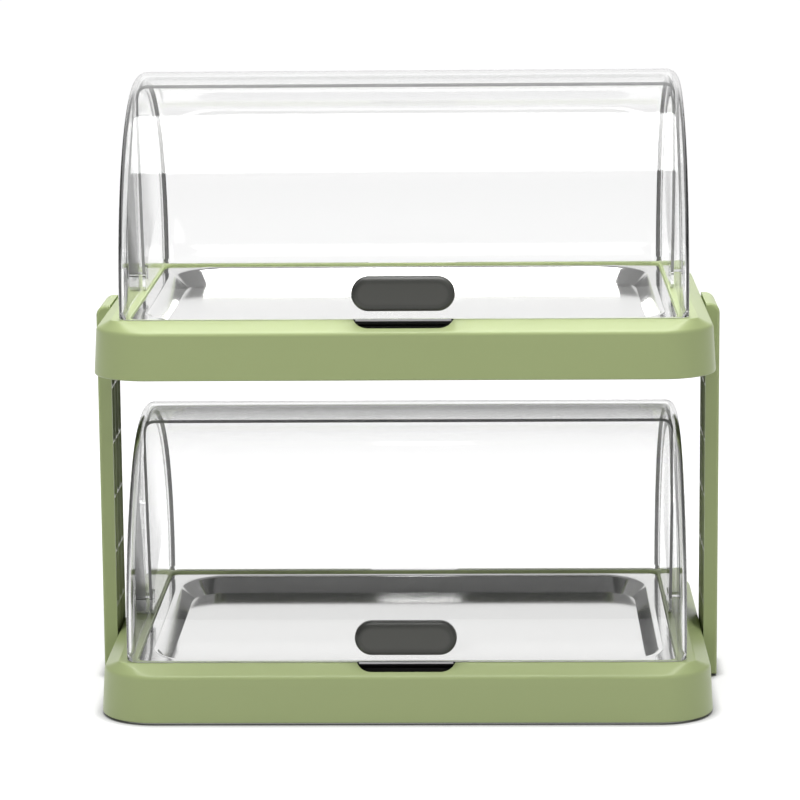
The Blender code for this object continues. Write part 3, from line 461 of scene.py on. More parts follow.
def place_group(tree, group, **values):
    """Puts a node group in a tree; a word's underscores stand for spaces."""
    node = add_node(tree, "ShaderNodeGroup", node_tree=group)
    for label, value in values.items():
        node.inputs[label.replace("_", " ")].default_value = value
    return node


def vary_roughness(tree, shader, mask, low, high):
    """Lets the roughness run from low to high as the mask goes from 0 to 1."""
    tree.links.new(map_range(tree, mask, 0, 1, low, high), shader.inputs["Roughness"])


def bump_from(tree, shader, height, depth, strength):
    """Feeds a height to the shader's normal."""
    bump = add_node(tree, "ShaderNodeBump")
    bump.inputs["Distance"].default_value = depth
    bump.inputs["Strength"].default_value = strength
    tree.links.new(height, bump.inputs["Height"])
    tree.links.new(bump.outputs[0], shader.inputs["Normal"])


MIX_A, MIX_B, MIX_RESULT = 6, 7, 2  # the colour sockets of a Mix node


def mix_colours(tree, mask, plain, other):
    """Runs from plain, a socket or a colour, to another colour as the mask goes from 0 to 1."""
    node = add_node(tree, "ShaderNodeMix", data_type="RGBA")
    tree.links.new(mask, node.inputs[0])
    if hasattr(plain, "is_output"):
        tree.links.new(plain, node.inputs[MIX_A])
    else:
        node.inputs[MIX_A].default_value = (*plain, 1)
    node.inputs[MIX_B].default_value = (*other, 1)
    return node.outputs[MIX_RESULT]


# %% Moulded plastics: green, grey, black and blue
MOTTLED_ROUGHNESS = 0.04
GRAIN_STRENGTH = 0.35
GRIP_SHADE_REACH, GRIP_SHADE_STRENGTH = 0.005, 30


def moulded_plastic(name, colour, mottled, roughness, grain_depth, painted_edge_colour=None, **edge_values):
    """Satin plastic; mottled is its second shade, painted_edge_colour the colour painted on its
    edges for light and shade.
    """
    material, tree, shader = start_finish(name, colour, roughness)
    grain = place_group(tree, moulded_grain)
    shade = mix_colours(tree, grain.outputs["Mottle"], colour, mottled)
    if painted_edge_colour:
        edge = place_group(tree, edge_highlight_and_shade, **edge_values)
        shade = mix_colours(tree, edge.outputs["Mask"], shade, painted_edge_colour)
    tree.links.new(shade, shader.inputs["Base Color"])
    low, high = roughness - MOTTLED_ROUGHNESS, roughness + MOTTLED_ROUGHNESS
    vary_roughness(tree, shader, grain.outputs["Mottle"], low, high)
    bump_from(tree, shader, grain.outputs["Grain"], grain_depth, GRAIN_STRENGTH)
    return material


# The green's lighter edge colour is partly wear and partly a painted highlight.
green_plastic = moulded_plastic(
    "green_plastic", (0.425, 0.508, 0.228), (0.440, 0.520, 0.240), 0.34, 0.00003, (0.53, 0.61, 0.33)
)
# The grip's darker edge colour is painted shade along its rim.
grip_plastic = moulded_plastic(
    "grip_plastic", (0.082, 0.083, 0.075), (0.088, 0.089, 0.080), 0.42, 0.00003,
    (0.010, 0.010, 0.009), Reach=GRIP_SHADE_REACH, Strength=GRIP_SHADE_STRENGTH
)
black_plastic = moulded_plastic(
    "black_plastic", (0.012, 0.012, 0.012), (0.016, 0.016, 0.016), 0.55, 0.00005
)
blue_plastic = moulded_plastic(
    "blue_plastic", (0.10, 0.28, 0.55), (0.12, 0.31, 0.58), 0.40, 0.00004
)
black_rubber = moulded_plastic(
    "black_rubber", (0.020, 0.020, 0.020), (0.028, 0.028, 0.028), 0.75, 0.00008
)
print("moulded finishes:", [material.name for material in bpy.data.materials])

# %% Bright metals
LINE_STRENGTH = 0.06


def drawn_metal(name, colour, roughness, spread, depth):
    """Polished metal with fine drawn lines and a little wiping haze."""
    material, tree, shader = start_finish(name, colour, roughness, metallic=1)
    lines = place_group(tree, drawn_lines)
    clouds = lines.outputs["Clouds"]
    vary_roughness(tree, shader, clouds, roughness - spread, roughness + spread)
    bump_from(tree, shader, lines.outputs["Lines"], depth, LINE_STRENGTH)
    return material


stainless = drawn_metal("stainless", (0.80, 0.80, 0.79), 0.10, 0.02, 0.00001)
zinc_plate = drawn_metal("zinc_plate", (0.60, 0.60, 0.58), 0.30, 0.05, 0.00002)
print("metals:", stainless.name, zinc_plate.name)

# %% [markdown]
# The covers are clear polished plastic. Light that goes straight through a wall loses little,
# but light that runs along it goes through much more of it and comes out grey. A faint
# absorption inside the solid does just that, and it is stronger in the small hinge parts. The
# rounded corners show as darker lines than that alone gives, so they get a finish of their
# own that passes less, which is painted shade. The foot of each shell is a pale matt grey, a
# painted highlight, and the rim of the rear cover a dark matt grey, painted shade. For rays
# from lamps the surface is transparent, so that the food space under the covers is lit.

# %% Clear plastic
CLEAR_IOR = 1.49
CLEAR_TINT = (0.42, 0.44, 0.43)
CLEAR_ROUGHNESS, CLEAR_HAZE = 0.02, 0.03
CLEAR_MOTTLE_SCALE = 9
COVER_DENSITY = 3.5
HINGE_DENSITY = 45
# The corner finishes pass less light than the clear wall: painted shade along the corners.
OUTER_CORNER_PASSED, INNER_CORNER_PASSED = 0.86, 0.14
MATT_EDGE_ROUGHNESS = (0.5, 0.7)
FOOT_HIGHLIGHT_LEVEL, RIM_SHADE_LEVEL = 0.92, 0.30


def make_clear_plastic(name, density, passed=1):
    """Clear plastic; density tells of the loss on the way, passed of that at each surface."""
    material, tree, shader = start_finish(name, (passed, passed, passed), CLEAR_ROUGHNESS)
    shader.inputs["Transmission Weight"].default_value = 1
    shader.inputs["IOR"].default_value = CLEAR_IOR
    grain = place_group(tree, moulded_grain, Mottle_Scale=CLEAR_MOTTLE_SCALE)
    vary_roughness(tree, shader, grain.outputs["Mottle"], 0, CLEAR_HAZE)
    path = add_node(tree, "ShaderNodeLightPath")
    through = add_node(tree, "ShaderNodeBsdfTransparent")
    mix = mix_shaders(tree, path.outputs["Is Shadow Ray"], shader, through)
    tint = add_node(tree, "ShaderNodeVolumeAbsorption")
    tint.inputs["Color"].default_value = (*CLEAR_TINT, 1)
    tint.inputs["Density"].default_value = density
    output = next(node for node in tree.nodes if node.type == "OUTPUT_MATERIAL")
    tree.links.new(mix.outputs[0], output.inputs["Surface"])
    tree.links.new(tint.outputs[0], output.inputs["Volume"])
    return material


clear_plastic = make_clear_plastic("clear_plastic", COVER_DENSITY)
hinge_plastic = make_clear_plastic("clear_hinge_plastic", HINGE_DENSITY)
outer_corner_plastic = make_clear_plastic(
    "clear_outer_corner", COVER_DENSITY, OUTER_CORNER_PASSED
)
inner_corner_plastic = make_clear_plastic(
    "clear_inner_corner", COVER_DENSITY, INNER_CORNER_PASSED
)


def make_painted_matt_edge(name, level):
    """A matt grey face on the edge of a clear wall, for painted highlight and painted shade."""
    material, tree, shader = start_finish(name, (level, level, level), sum(MATT_EDGE_ROUGHNESS) / 2)
    grain = place_group(tree, moulded_grain)
    vary_roughness(tree, shader, grain.outputs["Mottle"], *MATT_EDGE_ROUGHNESS)
    return material


# The pale foot is a painted highlight; the dark rim of the rear cover is painted shade.
foot_painted_highlight = make_painted_matt_edge("foot_painted_highlight", FOOT_HIGHLIGHT_LEVEL)
rim_painted_shade = make_painted_matt_edge("rim_painted_shade", RIM_SHADE_LEVEL)
print("finishes so far:", len(bpy.data.materials))

# %% [markdown]
# ## Shapes
#
# Most pieces are one of four shapes: a loft through rounded rectangles, a prism of a side
# view, a turned profile, or one of these with others cut from it. Outlines are worked out from
# arcs, so a finer facet only needs a smaller step. Cuts are made at once and their tools are
# thrown away, so that only real pieces stay in the scene.

# %% Facets and small helpers
CORNER_STEPS = 20
ROUND_STEPS = 5
COVER_STEP = math.radians(1.5)
ROUND_STEP = math.radians(6)
TURN_STEPS = 40
QUARTER = math.pi / 2
OVERRUN = 0.004
SAME_POINT = 0.00001
SHARP_ANGLE = math.radians(35)
EASE_ANGLE = math.radians(50)
EASE_STEPS = 3
LARGEST_SHARE = 0.45


def finish_piece(name, bm, material):
    """Puts a bmesh in the scene, smooth except at its real edges."""
    bmesh.ops.remove_doubles(bm, verts=bm.verts, dist=SAME_POINT)
    bmesh.ops.recalc_face_normals(bm, faces=bm.faces)
    mesh = bpy.data.meshes.new(name)
    bm.to_mesh(mesh)
    bm.free()
    mesh.shade_smooth()
    mesh.set_sharp_from_angle(angle=SHARP_ANGLE)
    if material:
        mesh.materials.append(material)
    piece = bpy.data.objects.new(name, mesh)
    bpy.context.scene.collection.objects.link(piece)
    return piece


def apply_modifiers(piece):
    """Turns what the modifiers make into the piece's own mesh."""
    bpy.context.view_layer.update()
    graph = bpy.context.evaluated_depsgraph_get()
    made = bpy.data.meshes.new_from_object(piece.evaluated_get(graph))
    old = piece.data
    piece.modifiers.clear()
    piece.data = made
    bpy.data.meshes.remove(old)


def carve(piece, shape, operation="DIFFERENCE"):
    """Cuts a shape from a piece, or joins it on."""
    tool = finish_piece("tool", shape, None)
    boolean = piece.modifiers.new("carve", "BOOLEAN")
    boolean.operation = operation
    boolean.solver = "EXACT"
    boolean.object = tool
    apply_modifiers(piece)
    bpy.data.objects.remove(tool, do_unlink=True)


def ease_edges(piece, size):
    """Rounds every sharp edge a little, as a mould or a polish leaves it."""
    bevel = piece.modifiers.new("ease", "BEVEL")
    bevel.width = size
    bevel.segments = EASE_STEPS
    bevel.limit_method = "ANGLE"
    bevel.angle_limit = EASE_ANGLE
    bevel.use_clamp_overlap = True
    bevel.harden_normals = True
    apply_modifiers(piece)


def paint_faces(piece, material, chosen):
    """Gives some faces a second finish; chosen takes a face's middle and normal."""
    piece.data.materials.append(material)
    for face in piece.data.polygons:
        if chosen(face.center, face.normal):
            face.material_index = len(piece.data.materials) - 1


def flatten_normals(piece):
    """Shades flats as flat, so that only the rounded edges turn the light."""
    piece.modifiers.new("flats", "WEIGHTED_NORMAL").keep_sharp = True
    apply_modifiers(piece)


def place_on(piece, height, body, replaced):
    """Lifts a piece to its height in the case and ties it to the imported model."""
    piece.data.transform(Matrix.Translation((0, 0, height)))
    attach(piece, body)
    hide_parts(*replaced)
    print(f"{piece.name}: {len(piece.data.polygons)} faces")


# %% Outlines and solids
def rounded_rectangle(half_x, half_y, radius, height):
    """The points of a rounded rectangle seen from above, anticlockwise."""
    points = []
    for quarter, (side_x, side_y) in enumerate(((1, 1), (-1, 1), (-1, -1), (1, -1))):
        centre = Vector((side_x * (half_x - radius), side_y * (half_y - radius), height))
        for step in range(CORNER_STEPS + 1):
            angle = (quarter + step / CORNER_STEPS) * QUARTER
            points.append(centre + radius * Vector((math.cos(angle), math.sin(angle), 0)))
    return points


def soften(sections, place, size):
    """Replaces one corner of a list of sections by a short curve."""
    before, corner = sections[place - 1], sections[place]
    after = sections[(place + 1) % len(sections)]
    ends = []
    for other in (before, after):
        distance = math.hypot(other[0] - corner[0], other[3] - corner[3])
        share = min(size / distance, LARGEST_SHARE)
        ends.append([here + share * (there - here) for here, there in zip(corner, other)])
    curve = []
    for step in range(ROUND_STEPS + 1):
        t = step / ROUND_STEPS
        weights = ((1 - t) ** 2, 2 * t * (1 - t), t**2)
        points = (ends[0], corner, ends[1])
        curve.append([sum(w * p[i] for w, p in zip(weights, points)) for i in range(4)])
    return sections[:place] + curve + sections[place + 1 :]


def bridge(bm, lower, upper):
    """Joins two rings of points with faces."""
    for i in range(len(lower)):
        j = (i + 1) % len(lower)
        bm.faces.new((lower[i], lower[j], upper[j], upper[i]))


def loft(sections, closed=False):
    """A solid through rounded rectangles (half_x, half_y, radius, height), in order."""
    bm = bmesh.new()
    rings = [[bm.verts.new(p) for p in rounded_rectangle(*section)] for section in sections]
    pairs = list(zip(rings, rings[1:]))
    if closed:
        pairs.append((rings[-1], rings[0]))
    else:
        bm.faces.new(rings[0])
        bm.faces.new(rings[-1])
    for lower, upper in pairs:
        bridge(bm, lower, upper)
    return bm


def prism(outline, start, end):
    """A solid of an outline, drawn square to the run from start to end."""
    start, end = Vector(start), Vector(end)
    run = end - start
    axis = max(range(3), key=lambda i: abs(run[i]))
    across = [i for i in range(3) if i != axis]
    bm = bmesh.new()
    rings = []
    for origin in (start, end):
        ring = []
        for point in outline:
            corner = origin.copy()
            for i, offset in zip(across, point):
                corner[i] += offset
            ring.append(bm.verts.new(corner))
        rings.append(ring)
    bm.faces.new(rings[0])
    bm.faces.new(rings[1])
    bridge(bm, *rings)
    return bm


def block(low, high):
    """A box between two corners."""
    width, depth = high[0] - low[0], high[1] - low[1]
    return prism(((0, 0), (width, 0), (width, depth), (0, depth)), low, (low[0], low[1], high[2]))


def turned(profile, place=(0, 0, 0), direction=(0, 0, 1)):
    """A turned solid from (distance along, radius) points, both ends on the axis."""
    bm = bmesh.new()
    rings = []
    for along, radius in profile:
        if radius == 0:
            rings.append([bm.verts.new((0, 0, along))])
            continue
        angles = [2 * math.pi * step / TURN_STEPS for step in range(TURN_STEPS)]
        points = [(radius * math.cos(a), radius * math.sin(a), along) for a in angles]
        rings.append([bm.verts.new(point) for point in points])
    for lower, upper in zip(rings, rings[1:]):
        for i in range(TURN_STEPS):
            j = (i + 1) % TURN_STEPS
            if len(lower) == 1:
                bm.faces.new((lower[0], upper[i], upper[j]))
            elif len(upper) == 1:
                bm.faces.new((lower[i], upper[0], lower[j]))
            else:
                bm.faces.new((lower[i], lower[j], upper[j], upper[i]))
    facing = Vector(direction).to_track_quat("Z", "Y").to_matrix().to_4x4()
    bmesh.ops.transform(bm, matrix=Matrix.Translation(place) @ facing, verts=bm.verts)
    return bm


def rod(start, end, radius):
    """A plain round bar, or the cutter for a round hole."""
    run = Vector(end) - Vector(start)
    return turned(((0, 0), (0, radius), (run.length, radius), (run.length, 0)), start, run)


def gather(shapes):
    """Puts shapes that don't meet into one bmesh."""
    whole = bmesh.new()
    for shape in shapes:
        mesh = bpy.data.meshes.new("shape")
        shape.to_mesh(mesh)
        shape.free()
        whole.from_mesh(mesh)
        bpy.data.meshes.remove(mesh)
    return whole


def arc(radius, start, end, centre=(0, 0), facet=ROUND_STEP):
    """Points of an arc, with angles from straight up, positive towards the rear."""
    steps = max(1, math.ceil(abs(end - start) / facet))
    angles = [start + (end - start) * i / steps for i in range(steps + 1)]
    return [(centre[0] + radius * math.sin(a), centre[1] + radius * math.cos(a)) for a in angles]


def round_edges(bm, edges, size, steps=ROUND_STEPS):
    """Rounds some edges of a bmesh, which needs every face to point out first."""
    bmesh.ops.recalc_face_normals(bm, faces=bm.faces)
    bmesh.ops.bevel(bm, geom=edges, offset=size, segments=steps, affect="EDGES", profile=0.5)


print("facet of an arc in degrees:", math.degrees(ROUND_STEP))

# %% [markdown]
# ## The green base frame
#
# The frame is one injection moulding with a thin wall all round. Its section goes up the
# outside, over a soft rim and a sloping bevel to a flat ledge, down into the rebate for the
# tray, and back down inside. Lofting that section round a rounded rectangle gives a ring with
# even walls, and the finger notches and the flats for the posts are cut from it. The upright
# faces of each notch get the black finish as painted shade, for the dark inside of the notch.

# %% Section and notch of the base frame
NOTCH_WIDTH = 0.071
NOTCH_REACH = 0.0082
NOTCH_BACK = 0.005
NOTCH_CORNER = 0.013
NOTCH_BACK_ROUND = 0.002
NOTCH_DEPTH = 0.0115
NOTCH_UPRIGHT = 0.3
POST_DEPTH = 0.058
POST_SEAT_INSET = 0.0014
POST_SEAT_CLEARANCE = 0.0005
POST_SEAT_X = BASE_HALF_X - POST_SEAT_INSET
BEVEL_SLOPE = math.atan2(LEDGE_HEIGHT - RIM_HEIGHT, BEVEL_RUN)


def frame_section():
    """The frame's section, from its foot up the outside and down the inside."""
    inner_x, inner_y = RIM_X - WALL, RIM_Y - WALL
    inner_corner = BASE_CORNER - DRAFT - WALL
    under = WALL * math.tan(BEVEL_SLOPE / 2)
    wall_top = RIM_HEIGHT + WALL * (math.tan(BEVEL_SLOPE) - 1 / math.cos(BEVEL_SLOPE))
    ledge_bottom = LEDGE_HEIGHT - WALL
    rebate_corner = TRAY_CORNER + TRAY_FIT
    back = (REBATE_X + WALL, REBATE_Y + WALL, rebate_corner + WALL)
    sections = [
        (BASE_HALF_X, BASE_HALF_Y, BASE_CORNER, 0),
        (RIM_X, RIM_Y, BASE_CORNER - DRAFT, RIM_HEIGHT),
        (LEDGE_X, LEDGE_Y, LEDGE_CORNER, LEDGE_HEIGHT),
        (REBATE_X, REBATE_Y, rebate_corner, LEDGE_HEIGHT),
        (REBATE_X, REBATE_Y, rebate_corner, REBATE_FLOOR),
        (LIP_X, LIP_Y, LIP_CORNER, REBATE_FLOOR),
        (LIP_X, LIP_Y, LIP_CORNER, LIP_BOTTOM),
        (*back, LIP_BOTTOM),
        (*back, ledge_bottom),
        (LEDGE_X - under, LEDGE_Y - under, LEDGE_CORNER - under, ledge_bottom),
        (inner_x, inner_y, inner_corner, wall_top),
        (inner_x, inner_y, inner_corner, 0),
    ]
    for place, size in ((3, LEDGE_ROUND), (2, LEDGE_ROUND), (1, RIM_ROUND), (0, FOOT_ROUND)):
        sections = soften(sections, place, size)
    return sections


def notch_outline(side):
    """Plan of the finger notch; side is -1 at the front and 1 at the rear."""
    outer = COVER_REACH + NOTCH_REACH
    inner = COVER_REACH - NOTCH_BACK
    half = NOTCH_WIDTH / 2
    reach = min(NOTCH_CORNER, outer - inner - NOTCH_BACK_ROUND)
    points = arc(reach, 0, QUARTER, (half - reach, outer - reach))
    centre = (half - NOTCH_BACK_ROUND, inner + NOTCH_BACK_ROUND)
    points += arc(NOTCH_BACK_ROUND, QUARTER, 2 * QUARTER, centre)
    points += [(-x, y) for x, y in reversed(points)]
    return [(x, side * y) for x, y in points]


def in_notch(middle, normal):
    """Whether a face of the frame is one of the upright cuts of a finger notch."""
    near, far = COVER_REACH - NOTCH_BACK - FIT_GAP, COVER_REACH + NOTCH_REACH + FIT_GAP
    inside = abs(middle.x) < NOTCH_WIDTH / 2 + FIT_GAP and near < abs(middle.y) < far
    above = middle.z > LEDGE_HEIGHT - NOTCH_DEPTH - FIT_GAP
    return inside and above and abs(normal.z) < NOTCH_UPRIGHT


def make_frame(tier):
    piece = finish_piece(f"{tier}_green_frame", loft(frame_section(), closed=True), green_plastic)
    low, high = (0, 0, LEDGE_HEIGHT - NOTCH_DEPTH), (0, 0, LEDGE_HEIGHT + OVERRUN)
    carve(piece, gather([prism(notch_outline(side), low, high) for side in (-1, 1)]))
    half = POST_DEPTH / 2 + POST_SEAT_CLEARANCE
    outer = BASE_HALF_X + OVERRUN
    seats = [
        block((POST_SEAT_X, -half, -OVERRUN), (outer, half, LEDGE_HEIGHT)),
        block((-outer, -half, -OVERRUN), (-POST_SEAT_X, half, LEDGE_HEIGHT)),
    ]
    carve(piece, gather(seats))
    flatten_normals(piece)
    # The notch's upright faces get the black finish: painted shade.
    paint_faces(piece, black_plastic, in_notch)
    place_on(piece, TIERS[tier], "root", [f"{tier}_base_frame"])


for tier in TIERS:
    make_frame(tier)

# %% [markdown]
# ## The steel food tray
#
# The tray is pressed from thin sheet. Its flat flange lies in the rebate, and a short slope
# leads down to a flat floor with wider corners. The loft starts at the inner floor, goes up
# and over the flange, and comes back underneath at the sheet's thickness.

# %% Make the trays
TRAY_FLANGE = 0.009
TRAY_DEPTH = 0.012
TRAY_SLOPE_RUN = 0.0096
TRAY_BRIM_CORNER = 0.036
TRAY_FLOOR_CORNER = 0.027
TRAY_BEND = 0.0022
TRAY_REST = REBATE_FLOOR + FIT_GAP


def make_tray(tier):
    brim_x, brim_y = TRAY_X - TRAY_FLANGE, TRAY_Y - TRAY_FLANGE
    floor_x, floor_y = brim_x - TRAY_SLOPE_RUN, brim_y - TRAY_SLOPE_RUN
    under = TRAY_SHEET * math.tan(math.atan2(TRAY_DEPTH, TRAY_SLOPE_RUN) / 2)
    floor_top = TRAY_SHEET - TRAY_DEPTH
    sections = [
        (floor_x, floor_y, TRAY_FLOOR_CORNER, floor_top),
        (brim_x, brim_y, TRAY_BRIM_CORNER, TRAY_SHEET),
        (TRAY_X, TRAY_Y, TRAY_CORNER, TRAY_SHEET),
        (TRAY_X, TRAY_Y, TRAY_CORNER, 0),
        (brim_x + under, brim_y + under, TRAY_BRIM_CORNER + under, 0),
        (floor_x + under, floor_y + under, TRAY_FLOOR_CORNER + under, floor_top - TRAY_SHEET),
    ]
    sections = soften(sections, 4, TRAY_BEND)
    sections = soften(sections, 1, TRAY_BEND)
    piece = finish_piece(f"{tier}_steel_tray", loft(sections), stainless)
    flatten_normals(piece)
    height = TIERS[tier] + TRAY_REST
    place_on(piece, height, f"{tier}_tray", [f"{tier}_food_tray"])


for tier in TIERS:
    make_tray(tier)

# %% [markdown]
# ## The clear covers
#
# Each cover is a quarter drum. Its side view is an arc about the pivot, closed by a level
# lower edge and a round heel that lets it turn on the ledge. The solid of that side view gets
# rounded corners, a smaller one is cut from inside it, and the open rims are eased so that
# they catch the light as a bright or dark line.

# %% Make a cover shell
SHELL_ROUND_STEPS = 6
COVER_EASE = 0.0005
PIN_RADIUS = 0.002
PIN_CLEARANCE = 0.0003
OUTER_CORNER = (0.20, 0.97, outer_corner_plastic)
INNER_CORNER = (0.45, 0.90, inner_corner_plastic)


def shell_outline(radius, reach_angle, side):
    """Side view of a shell about the pivot; side is -1 for the front shell."""
    low_angle = QUARTER + math.asin(COVER_DROP / radius)
    curve = arc(radius, low_angle, -reach_angle, facet=COVER_STEP)
    heel_angle = math.asin(COVER_TAIL / COVER_DROP)
    points = curve + [(-COVER_TAIL, 0)] + arc(COVER_DROP, 2 * QUARTER + heel_angle, 2 * QUARTER)
    return [(side * y, z) for y, z in points]


def hollow_outline(radius, side):
    """Side view of the space inside a shell, open below and behind."""
    curve = arc(radius, QUARTER + math.asin(COVER_DROP / radius), -QUARTER, facet=COVER_STEP)
    low = -COVER_DROP - OVERRUN
    points = [(curve[0][0], low)] + curve + [(-radius, low)]
    return [(side * y, z) for y, z in points]


def round_shell_corners(bm, half_x, size):
    """Rounds the edges where the curved wall meets the flat sides."""
    chosen = []
    for edge in bm.edges:
        first, second = (v.co for v in edge.verts)
        on_side = abs(abs(first.x) - half_x) < FIT_GAP and abs(first.x - second.x) < FIT_GAP
        reach = [math.hypot(point.y, point.z) for point in (first, second)]
        on_arc = min(reach) > COVER_REACH - COVER_DROP and abs(reach[0] - reach[1]) < FIT_GAP
        if on_side and on_arc:
            chosen.append(edge)
    round_edges(bm, chosen, size, SHELL_ROUND_STEPS)


def on_open_rim(middle, radius, reach_angle):
    """Whether a point lies on the rear shell's rim, from its heel to the end of its arc."""
    heel = Vector((-COVER_TAIL, 0))
    run = Vector((-radius * math.sin(reach_angle), radius * math.cos(reach_angle))) - heel
    offset = middle.yz - heel
    return middle.z > 0 and abs(run.cross(offset)) < FIT_GAP * run.length


def on_drum(middle):
    """Whether a point lies on a shell's curved wall or its rounded corners."""
    reach = math.hypot(middle.y, middle.z)
    return middle.z > FIT_GAP - COVER_DROP and reach > COVER_REACH - 2 * COVER_CORNER


def on_foot(middle, normal):
    """Whether a point lies on a shell's lower edge, its tab or its heel."""
    on_heel = middle.z < 0 and abs(math.hypot(middle.y, middle.z) - COVER_DROP) < FIT_GAP
    return on_heel or middle.z < FIT_GAP - COVER_DROP


def make_cover(name, half_x, radius, wall, reach_angle, side):
    """A cover shell about the pivot axis, at the origin."""
    outside = prism(shell_outline(radius, reach_angle, side), (-half_x, 0, 0), (half_x, 0, 0))
    round_shell_corners(outside, half_x, COVER_CORNER)
    piece = finish_piece(name, outside, clear_plastic)
    inner_x = half_x - wall
    inside = prism(hollow_outline(radius - wall, side), (-inner_x, 0, 0), (inner_x, 0, 0))
    round_shell_corners(inside, inner_x, COVER_CORNER - wall)
    carve(piece, inside)
    if side < 0:
        tab = NOTCH_WIDTH / 2 - TAB_CLEARANCE
        face = TAB_INSET - COVER_REACH
        low, high = -COVER_DROP - TAB_DEPTH, TAB_OVERLAP - COVER_DROP
        back = face + FRONT_WALL - 2 * TAB_INSET
        carve(piece, block((-tab, face, low), (tab, back, high)), "UNION")
    outer = half_x + OVERRUN
    carve(piece, rod((-outer, 0, 0), (outer, 0, 0), PIN_RADIUS + PIN_CLEARANCE))
    ease_edges(piece, COVER_EASE)
    flattest, steepest, corner_plastic = OUTER_CORNER if side < 0 else INNER_CORNER

    def on_corner(middle, normal):
        return flattest < abs(normal.x) < steepest and on_drum(middle)

    def on_rim(middle, normal):
        return on_open_rim(middle, radius, reach_angle)

    # The corners get a finish that passes less light, which is painted shade.
    paint_faces(piece, corner_plastic, on_corner)
    # The foot gets the pale matt finish as a painted highlight, the rear rim the dark one as
    # painted shade.
    paint_faces(piece, foot_painted_highlight, on_foot)
    if side > 0:
        paint_faces(piece, rim_painted_shade, on_rim)
    return piece


FRONT_LEAD = math.asin(COVER_TAIL / FRONT_RADIUS)
SHELLS = (
    ("front", FRONT_X, FRONT_RADIUS, FRONT_WALL, FRONT_LEAD, -1),
    ("rear", REAR_X, REAR_RADIUS, REAR_WALL, REAR_LEAD, 1),
)
for tier, foot in TIERS.items():
    for word, *values in SHELLS:
        cover = make_cover(f"{tier}_{word}_cover_clear", *values)
        body, shell = f"{tier}_{word}_cover", f"{tier}_{word}_shell"
        place_on(cover, foot + PIVOT_HEIGHT, body, [shell])

# %% [markdown]
# ## Grips, brackets and pins
#
# The grip is a pill of dark plastic whose back follows the cover. It could be a rounded box,
# but cutting it with the cover's own arc makes it lie flush. Beside each cover a small clear
# bracket stands on the ledge and holds the pin that both shells turn on.

# %% Make the grips
GRIP_WIDTH = 0.0725
GRIP_HEIGHT = 0.0245
GRIP_PROJECTION = 0.0075
GRIP_ROUND, GRIP_ROUND_STEPS = 0.0042, 8
GRIP_RISE = 0.0188
GRIP_ANGLE = math.asin((GRIP_RISE - PIVOT_RISE) / FRONT_RADIUS)


def make_grip(tier):
    half = GRIP_HEIGHT / 2
    end = GRIP_WIDTH / 2 - half
    outline = arc(half, 0, 2 * QUARTER, (end, 0)) + arc(half, 2 * QUARTER, 4 * QUARTER, (-end, 0))
    front = -(FRONT_RADIUS + GRIP_PROJECTION)
    pill = prism(outline, (0, front, 0), (0, -(FRONT_RADIUS - FRONT_WALL), 0))
    edges = [e for e in pill.edges if all(abs(v.co.y - front) < FIT_GAP for v in e.verts)]
    round_edges(pill, edges, GRIP_ROUND, GRIP_ROUND_STEPS)
    bmesh.ops.transform(pill, matrix=Matrix.Rotation(-GRIP_ANGLE, 4, "X"), verts=pill.verts)
    piece = finish_piece(f"{tier}_grip", pill, grip_plastic)
    swing = GRIP_HEIGHT / FRONT_RADIUS
    face = arc(FRONT_RADIUS + FIT_GAP, -QUARTER - swing, -QUARTER + 2 * swing, facet=COVER_STEP)
    carve(piece, prism(face + [(0, 0)], (-GRIP_WIDTH, 0, 0), (GRIP_WIDTH, 0, 0)))
    height = TIERS[tier] + PIVOT_HEIGHT
    place_on(piece, height, f"{tier}_front_cover", [f"{tier}_handle"])


for tier in TIERS:
    make_grip(tier)

# %% Make the brackets and pins
BRACKET_GAP = 0.0006
BRACKET_THICKNESS = 0.0048
BRACKET_STEM = 0.011
BRACKET_HEAD = 0.0068
BRACKET_FOOT = 0.020
BRACKET_FOOT_HEIGHT = 0.0022
BRACKET_EASE = 0.0004
PIN_HEAD = 0.0052
PIN_INNER_HEAD = 0.0009
PIN_OUTER_HEAD = 0.0013
PIN_EDGE = 0.0003


def make_bracket(tier, side, word):
    inner = FRONT_X + BRACKET_GAP
    low, high = sorted((side * inner, side * (inner + BRACKET_THICKNESS)))
    foot, stem = BRACKET_FOOT / 2, BRACKET_STEM / 2
    bottom = FIT_GAP - PIVOT_RISE
    foot_top = bottom + BRACKET_FOOT_HEIGHT
    flare = math.asin(min(stem / BRACKET_HEAD, 1))
    outline = [(-foot, bottom), (-foot, foot_top), (-stem, foot_top)]
    outline += arc(BRACKET_HEAD, -2 * QUARTER + flare, 2 * QUARTER - flare)
    outline += [(stem, foot_top), (foot, foot_top), (foot, bottom)]
    plate = prism(outline, (low, 0, 0), (high, 0, 0))
    piece = finish_piece(f"{tier}_hinge_bracket_{word}", plate, hinge_plastic)
    carve(piece, rod((low - OVERRUN, 0, 0), (high + OVERRUN, 0, 0), PIN_RADIUS + PIN_CLEARANCE))
    ease_edges(piece, BRACKET_EASE)
    height = TIERS[tier] + PIVOT_HEIGHT
    place_on(piece, height, "root", [f"{tier}_pivot_bracket_{word}"])


